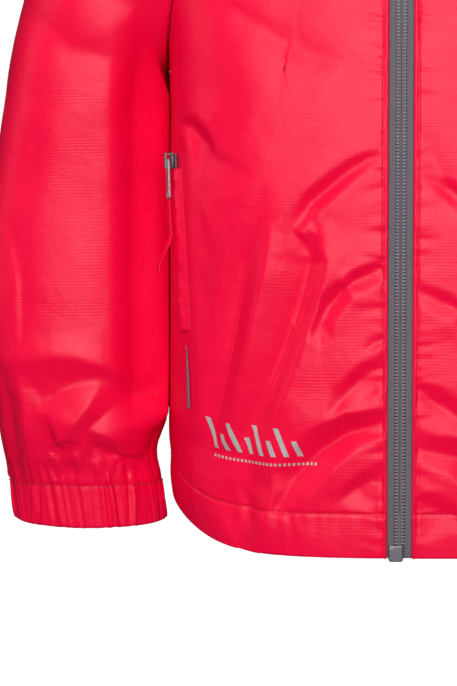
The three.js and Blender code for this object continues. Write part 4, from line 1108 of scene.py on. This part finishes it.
def zipTape(side):
    across = np.concatenate([[0.06, 0.2, 0.45, 0.8, 1.3], np.arange(1.8, 7.0, 0.45), [7.6, 8.6, 10, 12, 14]])
    points = np.stack([frontLine(side * x, zipSize["tapeDepth"]) for x in across], axis=1)
    x = np.abs(points[..., 0])
    height = points[..., 2]
    lift = 0.32 * smooth(3.4 - x) - 0.4 * np.exp(-(((x - across[0]) / 0.4) ** 2))
    lift += 0.05 * np.sin(height * 2 * math.pi / zipSize["turnPitch"]) * smooth((3.6 - x) / 0.8)
    lift += unevenness(height * 0.8, x * 3, 81 + side, 0.25) * smooth((x - 3) / 4)
    uv = clothMap(points)
    facing = outwardFrom(points, points * [1, 0, 1])
    points = points + facing * lift[..., None]
    topHeight = points[-1, 0, 2]
    atThroat = (x < zipSize["throatHalf"]) & (height > topHeight - zipSize["throatBelow"])
    return points, uv, atThroat


# Removes the faces whose first corner is marked, for notches in a tape
def notch(piece, marked):
    mesh = bmesh.new()
    mesh.from_mesh(piece.data)
    flags = marked.ravel()
    gone = [f for f in mesh.faces if all(flags[v.index] for v in f.verts)]
    bmesh.ops.delete(mesh, geom=gone, context="FACES")
    mesh.to_mesh(piece.data)
    mesh.free()


# Pocket pieces lie along the opening: t from its top to its end, aside across it, out from the cloth
def pocketPoint(side, t, aside, out):
    def spot(share, height):
        x = share * torsoAt("halfWidth", height)
        return torsoSurface(front, x, height)

    x, height = pocketLine(t)
    at = torsoSurface(front, x, height)
    normal = torsoFacing(front, x, height)
    e = 0.5
    slope = (pocket["endShare"] - pocket["topShare"]) / (pocket["endHeight"] - pocket["topHeight"])
    share = mix(pocket["topShare"], pocket["endShare"], t)
    up = spot(share + slope * e, height + e) - at
    up /= np.linalg.norm(up, axis=-1, keepdims=True)
    across = np.cross(up, normal)
    across /= np.linalg.norm(across, axis=-1, keepdims=True)
    normal = np.cross(across, up)
    point = at + across * np.asarray(aside)[..., None] + normal * np.asarray(out)[..., None]
    return point * [side, 1, 1], normal * [side, 1, 1], up * [side, 1, 1], across * [side, 1, 1]


def pocketGrid(side, start, end, widths, out, step=0.9):
    length = (pocket["topHeight"] - pocket["endHeight"]) * (end - start)
    t = np.linspace(start, end, round(length / step))
    aside = widths(t)
    return pocketPoint(side, t[:, None] + 0 * aside, aside, out(t[:, None] + 0 * aside, aside))[0]


def pocketTapeShape(t, aside):
    ribs = 0.12 * np.sin(t * 90 * 2 * math.pi / 1.4) * (np.abs(aside) < 1.5)
    return pocket["zipLift"] + 0.95 + ribs - 0.3 * np.exp(-((aside / 0.28) ** 2))


def pocketZipPiece(side):
    half = pocket["zipWidth"] / 2
    aside = np.array([-1, -0.9, -0.66, -0.4, -0.22, -0.1, 0, 0.1, 0.22, 0.4, 0.66, 0.9, 1]) * half

    def widths(t):
        return aside[None, :] + 0 * t[:, None]

    return pocketGrid(side, 0.0, pocket["zipEnd"], widths, pocketTapeShape, 0.6)


# The welt that covers the zip below the slider: rolled at its free edge, stitched down at the other
def pocketLipPiece(side):
    reach = pocket["lipWidth"] / 2

    def widths(t):
        behind = mix(reach, 0.6, smooth((t - 0.7) / 0.3))
        return mix(-pocket["lipFront"], behind[:, None], np.linspace(0, 1, 30)[None, :])

    def out(t, aside):
        share = (aside - aside.min(axis=1, keepdims=True)) / np.ptp(aside, axis=1)[:, None]
        crown = 0.8 * np.sin(np.clip(share * 1.25 - 0.25, 0, 1) * math.pi) ** 0.5
        wrinkle = 0.16 * np.sin(t * 41 + aside) + 0.12 * np.sin(t * 83 + 2)
        fromSewn = aside + pocket["lipFront"]
        lifted = (pocket["lipLift"] + crown + wrinkle) * smooth(fromSewn / 6.5)
        ends = smooth(np.minimum(t - pocket["lipStart"] + 0.01, pocket["lipEnd"] + 0.01 - t) / 0.05)
        return lifted * mix(0.8, 1, ends) - 0.2 - 1.1 * (1 - smooth(fromSewn / 1.8))

    return pocketGrid(side, pocket["lipStart"], pocket["lipEnd"], widths, out)


def stripePiece(side):
    def widths(t):
        share = (t - pocket["stripeFrom"]) / (pocket["stripeTo"] - pocket["stripeFrom"])
        opened = smooth(share / 0.6) - 0.25 * smooth((share - 0.86) / 0.14)
        half = mix(pocket["stripeTop"], pocket["stripeEnd"], opened) / 2
        return pocket["stripeAside"] + half[:, None] * np.linspace(-1, 1, 9)[None, :]

    def out(t, aside):
        return 0.62 + 0.3 * (1 - ((aside - pocket["stripeAside"]) / 1.7) ** 4) + 0.05 * np.sin(t * 60)

    return pocketGrid(side, pocket["stripeFrom"], pocket["stripeTo"], widths, out, 0.8)


# Node trees: small shapes along a line, for stitches, zip ribs and coil turns
def followTree(name, ring=False):
    tree = bpy.data.node_groups.new(name, "GeometryNodeTree")
    face = tree.interface
    face.new_socket("Geometry", in_out="INPUT", socket_type="NodeSocketGeometry")
    defaults = {"Pitch": 0.003, "Along": 0.0026, "Across": 0.0006, "High": 0.0005, "Uneven": 0.15}
    for label, value in defaults.items():
        face.new_socket(label, in_out="INPUT", socket_type="NodeSocketFloat").default_value = value
    face.new_socket("Seed", in_out="INPUT", socket_type="NodeSocketInt").default_value = 3
    face.new_socket("Material", in_out="INPUT", socket_type="NodeSocketMaterial")
    face.new_socket("Geometry", in_out="OUTPUT", socket_type="NodeSocketGeometry")

    def add(kind, settings=None, inputs=None):
        made = tree.nodes.new(kind)
        for key, value in (settings or {}).items():
            setattr(made, key, value)
        for key, value in (inputs or {}).items():
            if isinstance(value, bpy.types.NodeSocket):
                tree.links.new(value, made.inputs[key])
            else:
                made.inputs[key].default_value = value
        return made

    given = add("NodeGroupInput").outputs
    curve = add("GeometryNodeMeshToCurve", None, {"Mesh": given["Geometry"]})
    spaced = {"Curve": curve.outputs[0], "Length": given["Pitch"]}
    evenly = add("GeometryNodeResampleCurve", {"mode": "LENGTH"}, spaced)
    facing = add("GeometryNodeInputNamedAttribute", {"data_type": "FLOAT_VECTOR"}, {"Name": "facing"})
    tangent = add("GeometryNodeInputTangent")
    turn = add("FunctionNodeAxesToRotation", {"primary_axis": "Z", "secondary_axis": "X"})
    tree.links.new(facing.outputs[0], turn.inputs[0])
    tree.links.new(tangent.outputs[0], turn.inputs[1])
    if ring:
        sizes = ({"Resolution": 10, "Radius": 0.42}, {"Resolution": 5, "Radius": 0.11})
        circle, profile = (
            add("GeometryNodeCurvePrimitiveCircle", {"mode": "RADIUS"}, size) for size in sizes
        )
        loops = {"Curve": circle.outputs[0], "Profile Curve": profile.outputs[0]}
        swept = add("GeometryNodeCurveToMesh", None, loops)
        upright = {"Geometry": swept.outputs[0], "Rotation": (math.pi / 2, 0, math.pi / 2)}
        shape = add("GeometryNodeTransform", None, upright)
    else:
        shape = add("GeometryNodeMeshUVSphere", None, {"Segments": 8, "Rings": 5, "Radius": 0.5})
    size = add("ShaderNodeCombineXYZ", None, {"X": given["Along"], "Y": given["Across"], "Z": given["High"]})
    low = add("ShaderNodeMath", {"operation": "SUBTRACT"}, {0: 1.0, 1: given["Uneven"]})
    between = {2: low.outputs[0], 3: 1.0, "Seed": given["Seed"]}
    vary = add("FunctionNodeRandomValue", {"data_type": "FLOAT"}, between)
    sized = {0: size.outputs[0], "Scale": vary.outputs[1]}
    scaled = add("ShaderNodeVectorMath", {"operation": "SCALE"}, sized)
    placed = add("GeometryNodeInstanceOnPoints", None, {
        "Points": evenly.outputs[0], "Instance": shape.outputs[0],
        "Rotation": turn.outputs[0], "Scale": scaled.outputs[0],
    })
    real = add("GeometryNodeRealizeInstances", None, {"Geometry": placed.outputs[0]})
    smoothFaces = add("GeometryNodeSetShadeSmooth", None, {"Geometry": real.outputs[0]})
    dressed = {"Geometry": smoothFaces.outputs[0], "Material": given["Material"]}
    finish = add("GeometryNodeSetMaterial", None, dressed)
    add("NodeGroupOutput", None, {0: finish.outputs[0]})
    return tree


stitchTree = followTree("small_shapes_along_a_line")
turnTree = followTree("coil_turns_along_a_line", ring=True)


# Lays shapes along lines of points and keeps the result as a plain mesh
def laidAlong(name, tree, lines, material, **sizes):
    points, facings, edges = [], [], []
    for line, facing in lines:
        first = sum(len(p) for p in points)
        edges += [(first + i, first + i + 1) for i in range(len(line) - 1)]
        points.append(toWorld(line))
        facings.append(facing)
    mesh = bpy.data.meshes.new(name)
    mesh.from_pydata(np.concatenate(points).tolist(), edges, [])
    attribute = mesh.attributes.new("facing", "FLOAT_VECTOR", "POINT")
    attribute.data.foreach_set("vector", np.concatenate(facings).astype(np.float32).ravel())
    piece = bpy.data.objects.new(name, mesh)
    bpy.context.scene.collection.objects.link(piece)
    layer = piece.modifiers.new("shapes", "NODES")
    layer.node_group = tree
    sockets = {s.name: s.identifier for s in tree.interface.items_tree if s.in_out == "INPUT"}
    for label, value in {**sizes, "Material": material}.items():
        layer[sockets[label]] = value
    shown = piece.evaluated_get(bpy.context.evaluated_depsgraph_get())
    finished = bpy.data.meshes.new_from_object(shown)
    piece.modifiers.clear()
    piece.data = finished
    finished.name = name
    if not finished.materials:
        finished.materials.append(material)
    return piece


# Stitches, in metres; rise is how far their middles stand off the cloth, in millimetres
thread = {"pitch": 0.0031, "along": 0.0026, "across": 0.0006, "high": 0.00045, "uneven": 0.12, "rise": 0.12}
shortStitch = {"pitch": 0.0027, "along": 0.0021}
casingStitch = {"pitch": 0.0027, "along": 0.0022}


def sewnLines(name, lines, slot="shell", material=None, **changes):
    use = {**thread, **changes}
    piece = laidAlong(
        name, stitchTree, lines, material or redThread, Pitch=use["pitch"], Along=use["along"],
        Across=use["across"], High=use["high"], Uneven=use["uneven"], Seed=7,
    )
    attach(piece, "jacket")
    return piece


# Part of a row or column of a grid as a line to sew along
def sewnAt(points, facing, place, rise=None):
    return points[place] + facing[place] * (thread["rise"] if rise is None else rise), facing[place]


def nearestIndex(values, wanted):
    return int(np.argmin(np.abs(np.asarray(values) - wanted)))


# A shell of cloth that stands for the solid of the same name
def clothPiece(name, points, uv, material, wall, closed=False, middle=None, body="jacket"):
    piece = gridMesh(name, points, uv, material, closed, middle)
    addWall(piece, wall)
    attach(piece, body)
    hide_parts(name.removesuffix("_cloth"))
    return piece


# Fronts, with the stitches beside the zip and along the hem
hemRow = nearestIndex(hemEdge, panel["hemStitch"])
zipColumn = nearestIndex(zipEdge, panel["zipStitch"])
for side in (right, left):
    word = words[side]
    points, uv = frontPanel(side)
    middle = points * [0, 0, 1]
    material = shellPrinted if side == right else shell
    piece = clothPiece(f"front_{word}_cloth", points, uv, material, panel["wall"], middle=middle)
    facing = outwardFrom(points, middle)
    lines = [sewnAt(points, facing, np.s_[:, zipColumn]), sewnAt(points, facing, np.s_[hemRow, 4:-3])]
    sewnLines(f"front_{word}_stitches", lines)
    print("front", word, len(piece.data.polygons), "area", round(flatArea(points), 4))

points, uv = backPanel()
middle = points * [0, 0, 1]
backPiece = clothPiece("back_cloth", points, uv, shell, panel["wall"], middle=middle)
line = sewnAt(points, outwardFrom(points, middle), np.s_[hemRow, 3:-3])
backStitches = sewnLines("back_stitches", [line])
print("back", len(backPiece.data.polygons), "area", round(flatArea(points), 4))

for side in (right, left):
    word = words[side]
    points, uv = sleevePanel(side)
    middle = points.mean(axis=1, keepdims=True)
    sleevePiece = clothPiece(f"sleeve_{word}_cloth", points, uv, shell, tube["wall"], True, middle)
    print("sleeve", word, len(sleevePiece.data.polygons), "area", round(flatArea(points, True), 4))
    points, uv = casing(side)
    middle = points.mean(axis=1, keepdims=True)
    casingPiece = clothPiece(f"cuff_{word}_cloth", points, uv, shell, tube["casingWall"], True, middle)
    away = outwardFrom(points, middle, True)
    loop = np.concatenate([points[1], points[1][:1]])
    loopAway = np.concatenate([away[1], away[1][:1]])
    lines = [(loop + loopAway * tube["stitchRise"], loopAway)]
    casingStitches = sewnLines(f"cuff_{word}_stitches", lines, **casingStitch)
    print("casing", word, "area", round(flatArea(points, True), 4))

points, uv = collarBand()
middle = band["middle"] + points * [0, 0, 1]
collarPiece = clothPiece("collar_cloth", points, uv, shell, band["wall"], middle=middle)
facing = outwardFrom(points, middle)
fromTop = uv[-1, 60, 1] - uv[:, 60, 1]
row = nearestIndex(fromTop, band["topStitch"])
ends = nearestIndex(uv[10, :, 0], panel["zipStitch"])
lines = [sewnAt(points, facing, np.s_[row, ends:-ends], band["stitchRise"])]
for column in (ends, points.shape[1] - 1 - ends):
    lines.append(sewnAt(points, facing, np.s_[2 : row + 1, column], band["stitchRise"]))
collarStitches = sewnLines("collar_stitches", lines)
print("collar area", round(flatArea(points), 4))


# Zip tapes, with the rows of ribs that the coil's sewing makes, and the coil inside
tapes = {}
for side in (right, left):
    word = words[side]
    points, uv, marked = zipTape(side)
    middle = points * [1, 0, 1]
    facing = outwardFrom(points, middle)
    tapePiece = gridMesh(f"zip_tape_{word}_cloth", points, uv, tapeKnit, middle=middle)
    notch(tapePiece, marked)
    addWall(tapePiece, zipSize["tapeWall"])
    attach(tapePiece, "jacket")
    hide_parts(f"zip_tape_{word}")
    column = nearestIndex(np.abs(points[10, :, 0]), zipSize["ribAside"])
    keep = (points[:, column, 2] > zipSize["boxTop"]) & (points[:, column, 2] < points[-1, 0, 2] - 1)
    ribs = sewnLines(
        f"zip_ribs_{word}", [sewnAt(points, facing, (keep, column), 0.08)], "zip_tape", greyThread,
        pitch=zipSize["turnPitch"] * mm, along=zipSize["ribAlong"] * mm,
        across=zipSize["ribAcross"] * mm, high=zipSize["ribHigh"] * mm, uneven=0.1,
    )
    tapes[side] = (tapePiece, ribs)

lines = []
for side in (right, left):
    line = frontLine(side * zipSize["turnAside"], zipSize["coilDepth"] + zipSize["coilWall"] / 2 - 0.1)
    line = line[(line[:, 2] > zipSize["boxTop"]) & (line[:, 2] < line[-1, 2] - zipSize["throatBelow"])]
    line[:, 2] += side * zipSize["turnPitch"] / 4
    lines.append((line, np.tile([0.0, -1.0, 0.0], (len(line), 1))))
coil = laidAlong(
    "zip_coil_turns", turnTree, lines, coilPlastic, Pitch=zipSize["turnPitch"] * mm,
    Along=zipSize["turnAlong"] * mm, Across=zipSize["turnAcross"] * mm, High=zipSize["turnHigh"] * mm,
    Uneven=0.02, Seed=5,
)
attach(coil, "jacket")
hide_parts("zip_coil")
print("zip ready:", len(coil.data.polygons), "faces of coil")


# Pockets
tab = {"start": 21.4, "length": 39, "width": 5.2, "thick": 1.2, "flare": 7, "axisRise": 5.05, "at": 0.035}


def tabShape(side):
    point, normal, up, across = pocketPoint(side, np.array(tab["at"]), 0.0, 0.0)
    t = np.linspace(0, 1, 60)[:, None]
    aside = np.concatenate([[-1, -0.97, -0.9], np.linspace(-0.8, 0.8, 9), [0.9, 0.97, 1]])[None, :]
    aside = aside * tab["width"] / 2
    bend = tab["flare"] * smooth((t - 0.45) / 0.55) + 0.25 * np.sin(t * 9) + 0 * aside
    edge = np.abs(aside) / (tab["width"] / 2)
    crown = tab["thick"] / 2 * (1 - 0.7 * edge**6) + 0.06 * np.cos(aside * 5) * np.cos(t * 70)
    point = point + normal * tab["axisRise"]
    down = -tab["start"] - tab["length"] * t + 0 * aside
    twist = 0.12 * np.sin(t * 4) * aside
    out = bend + crown + twist - 0.1
    return point + across * aside[..., None] + normal * out[..., None] + up * down[..., None], normal


for side in (right, left):
    word = words[side]
    frontNormal = np.array([side * 0.9, -0.43, 0])
    for name, points, material, wall, slot in (
        (f"pocket_zip_{word}", pocketZipPiece(side), tapeKnit, 0.8, "zip_coil"),
        (f"pocket_lip_{word}", pocketLipPiece(side), shell, 0.8, "shell"),
        (f"stripe_{word}", stripePiece(side), reflective, 0.5, "stripe"),
    ):
        middle = points.mean(axis=(0, 1)) - frontNormal * pocket["depth"]
        clothPiece(
            name + "_cloth", points, clothMap(points), material, wall, middle=middle,
        )
    points, normal = tabShape(side)
    tabPiece = clothPiece(
        f"pocket_tab_{word}_cloth", points, clothMap(points), shell, 1.0,
        middle=points.mean(axis=(0, 1)) - normal * pocket["depth"], body=f"{word}_pocket_pull",
    )
    points = pocketLipPiece(side)
    facing = outwardFrom(points, points.mean(axis=(0, 1)) - frontNormal * pocket["depth"])
    line = sewnAt(points, facing, np.s_[3:-3, pocket["lipStitch"]], 0.05)
    lipStitches = sewnLines(f"pocket_stitches_{word}", [line], **shortStitch)
    tapePiece, ribs = tapes[side]
print("pockets ready")


# Metal pieces: the CAD pieces with their edges rounded
metalEdge = {"merge": 2e-6, "flat": 1, "segments": 2, "turn": 28}


def roundedCopy(node, material, width, body):
    mesh = bpy.data.objects[node].data.copy()
    work = bmesh.new()
    work.from_mesh(mesh)
    bmesh.ops.remove_doubles(work, verts=work.verts, dist=metalEdge["merge"])
    flat = math.radians(metalEdge["flat"])
    bmesh.ops.dissolve_limit(work, angle_limit=flat, verts=work.verts, edges=work.edges)
    for f in work.faces:
        f.smooth = True
    work.to_mesh(mesh)
    work.free()
    mesh.materials.clear()
    mesh.materials.append(material)
    piece = bpy.data.objects.new(node + "_metal", mesh)
    bpy.context.scene.collection.objects.link(piece)
    bevel = piece.modifiers.new("edges", "BEVEL")
    bevel.width = width * mm
    bevel.segments = metalEdge["segments"]
    bevel.angle_limit = math.radians(metalEdge["turn"])
    normals = piece.modifiers.new("shading", "WEIGHTED_NORMAL")
    normals.keep_sharp = False
    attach(piece, body)
    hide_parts(node)


roundedCopy("zip_box", hardware, 0.3, "jacket")
roundedCopy("zip_slider", hardware, 0.2, "jacket")
roundedCopy("zip_pull", pullMetal, 0.2, "main_pull")
for word in ("right", "left"):
    roundedCopy(f"pocket_slider_{word}", hardware, 0.2, "jacket")
    roundedCopy(f"pocket_pull_{word}", pullMetal, 0.2, f"{word}_pocket_pull")
print("metal ready")


# Floor, light and camera
studio = {
    "floorBelow": 0.26, "floorHalf": 30, "floorColour": (0.9, 0.9, 0.9), "floorGlow": 0.75,
    "upperWorld": 0.32, "lowerWorld": 0.18, "worldTurn": (-0.35, 0.45), "roomShine": 0.1, "backdrop": 1.05,
    "key": ((0.05, -2.2, 0.25), 1.75, 47), "fill": ((-2.5, -0.75, 0.4), 1.2, 7),
    "top": ((-0.3, -0.5, 2.0), 1.2, 14), "lampAim": (0, 0, -0.2),
    "cameraAt": (0, -1.85, -0.150), "cameraAim": (-0.091, -0.092, -0.3147), "lens": 174.9, "sensor": 36,
}


def floorFinish():
    s = Shader("pale_floor")
    place = s.node("TexCoord", None, (), 3)
    cloud = s.noise(place, 3, 2.0)
    return s.finish(
        Base_Color=s.mixColours(cloud, studio["floorColour"], (0.92, 0.92, 0.92)), Roughness=0.9,
        Normal=s.bump(cloud, 0.0005, 0.2), Emission_Color=(1.0, 1.0, 1.0),
        Emission_Strength=studio["floorGlow"],
    )


def areaLight(name, place, aim, size, power):
    light = bpy.data.lights.new(name, "AREA")
    light.shape = "DISK"
    light.size = size
    light.energy = power
    lamp = bpy.data.objects.new(name, light)
    lamp.location = place
    lamp.rotation_euler = (Vector(aim) - Vector(place)).to_track_quat("-Z", "Y").to_euler()
    bpy.context.scene.collection.objects.link(lamp)


def buildStudio():
    scene = bpy.context.scene
    floorMesh = bpy.data.meshes.new("floor")
    low = cadBox[0][2] - studio["floorBelow"]
    half = studio["floorHalf"]
    corners = [(x * half, y * half, low) for x, y in ((-1, -1), (1, -1), (1, 1), (-1, 1))]
    floorMesh.from_pydata(corners, [], [(0, 1, 2, 3)])
    floorMesh.materials.append(floorFinish())
    floor = bpy.data.objects.new("floor", floorMesh)
    scene.collection.objects.link(floor)
    # The floor shows, and the light on the cloth comes from the lamps and the room
    floor.visible_diffuse = False
    floor.visible_glossy = False
    for name in ("key", "fill", "top"):
        place, size, power = studio[name]
        areaLight(name + "_light", place, studio["lampAim"], size, power)
    world = bpy.data.worlds.new("studio")
    scene.world = world
    world.use_nodes = True
    nodes, links = world.node_tree.nodes, world.node_tree.links
    nodes.clear()
    path = nodes.new("ShaderNodeLightPath")
    lit, seen = nodes.new("ShaderNodeBackground"), nodes.new("ShaderNodeBackground")
    place, split, ramp = (nodes.new("ShaderNode" + kind) for kind in ("TexCoord", "SeparateXYZ", "MapRange"))
    links.new(place.outputs["Generated"], split.inputs[0])
    links.new(split.outputs["Z"], ramp.inputs["Value"])
    values = (*studio["worldTurn"], studio["lowerWorld"], studio["upperWorld"])
    for key, value in zip(("From Min", "From Max", "To Min", "To Max"), values):
        ramp.inputs[key].default_value = value
    # The room shows less in the cloth's shine than the lamps do
    dim = nodes.new("ShaderNodeMapRange")
    links.new(path.outputs["Is Glossy Ray"], dim.inputs["Value"])
    dim.inputs["To Min"].default_value, dim.inputs["To Max"].default_value = 1, studio["roomShine"]
    power = nodes.new("ShaderNodeMath")
    power.operation = "MULTIPLY"
    links.new(ramp.outputs[0], power.inputs[0])
    links.new(dim.outputs[0], power.inputs[1])
    links.new(power.outputs[0], lit.inputs["Strength"])
    lit.inputs["Color"].default_value = (1, 1, 1, 1)
    seen.inputs["Color"].default_value = (1, 1, 1, 1)
    seen.inputs["Strength"].default_value = studio["backdrop"]
    both = nodes.new("ShaderNodeMixShader")
    out = nodes.new("ShaderNodeOutputWorld")
    links.new(path.outputs["Is Camera Ray"], both.inputs[0])
    links.new(lit.outputs[0], both.inputs[1])
    links.new(seen.outputs[0], both.inputs[2])
    links.new(both.outputs[0], out.inputs["Surface"])
    camera = bpy.data.objects.new("camera", bpy.data.cameras.new("camera"))
    camera.data.lens = studio["lens"]
    camera.data.sensor_width = studio["sensor"]
    camera.location = studio["cameraAt"]
    sight = Vector(studio["cameraAim"]) - Vector(studio["cameraAt"])
    camera.rotation_euler = sight.to_track_quat("-Z", "Y").to_euler()
    scene.collection.objects.link(camera)
    scene.camera = camera
    scene.view_settings.view_transform = "Standard"


buildStudio()
print("studio ready")
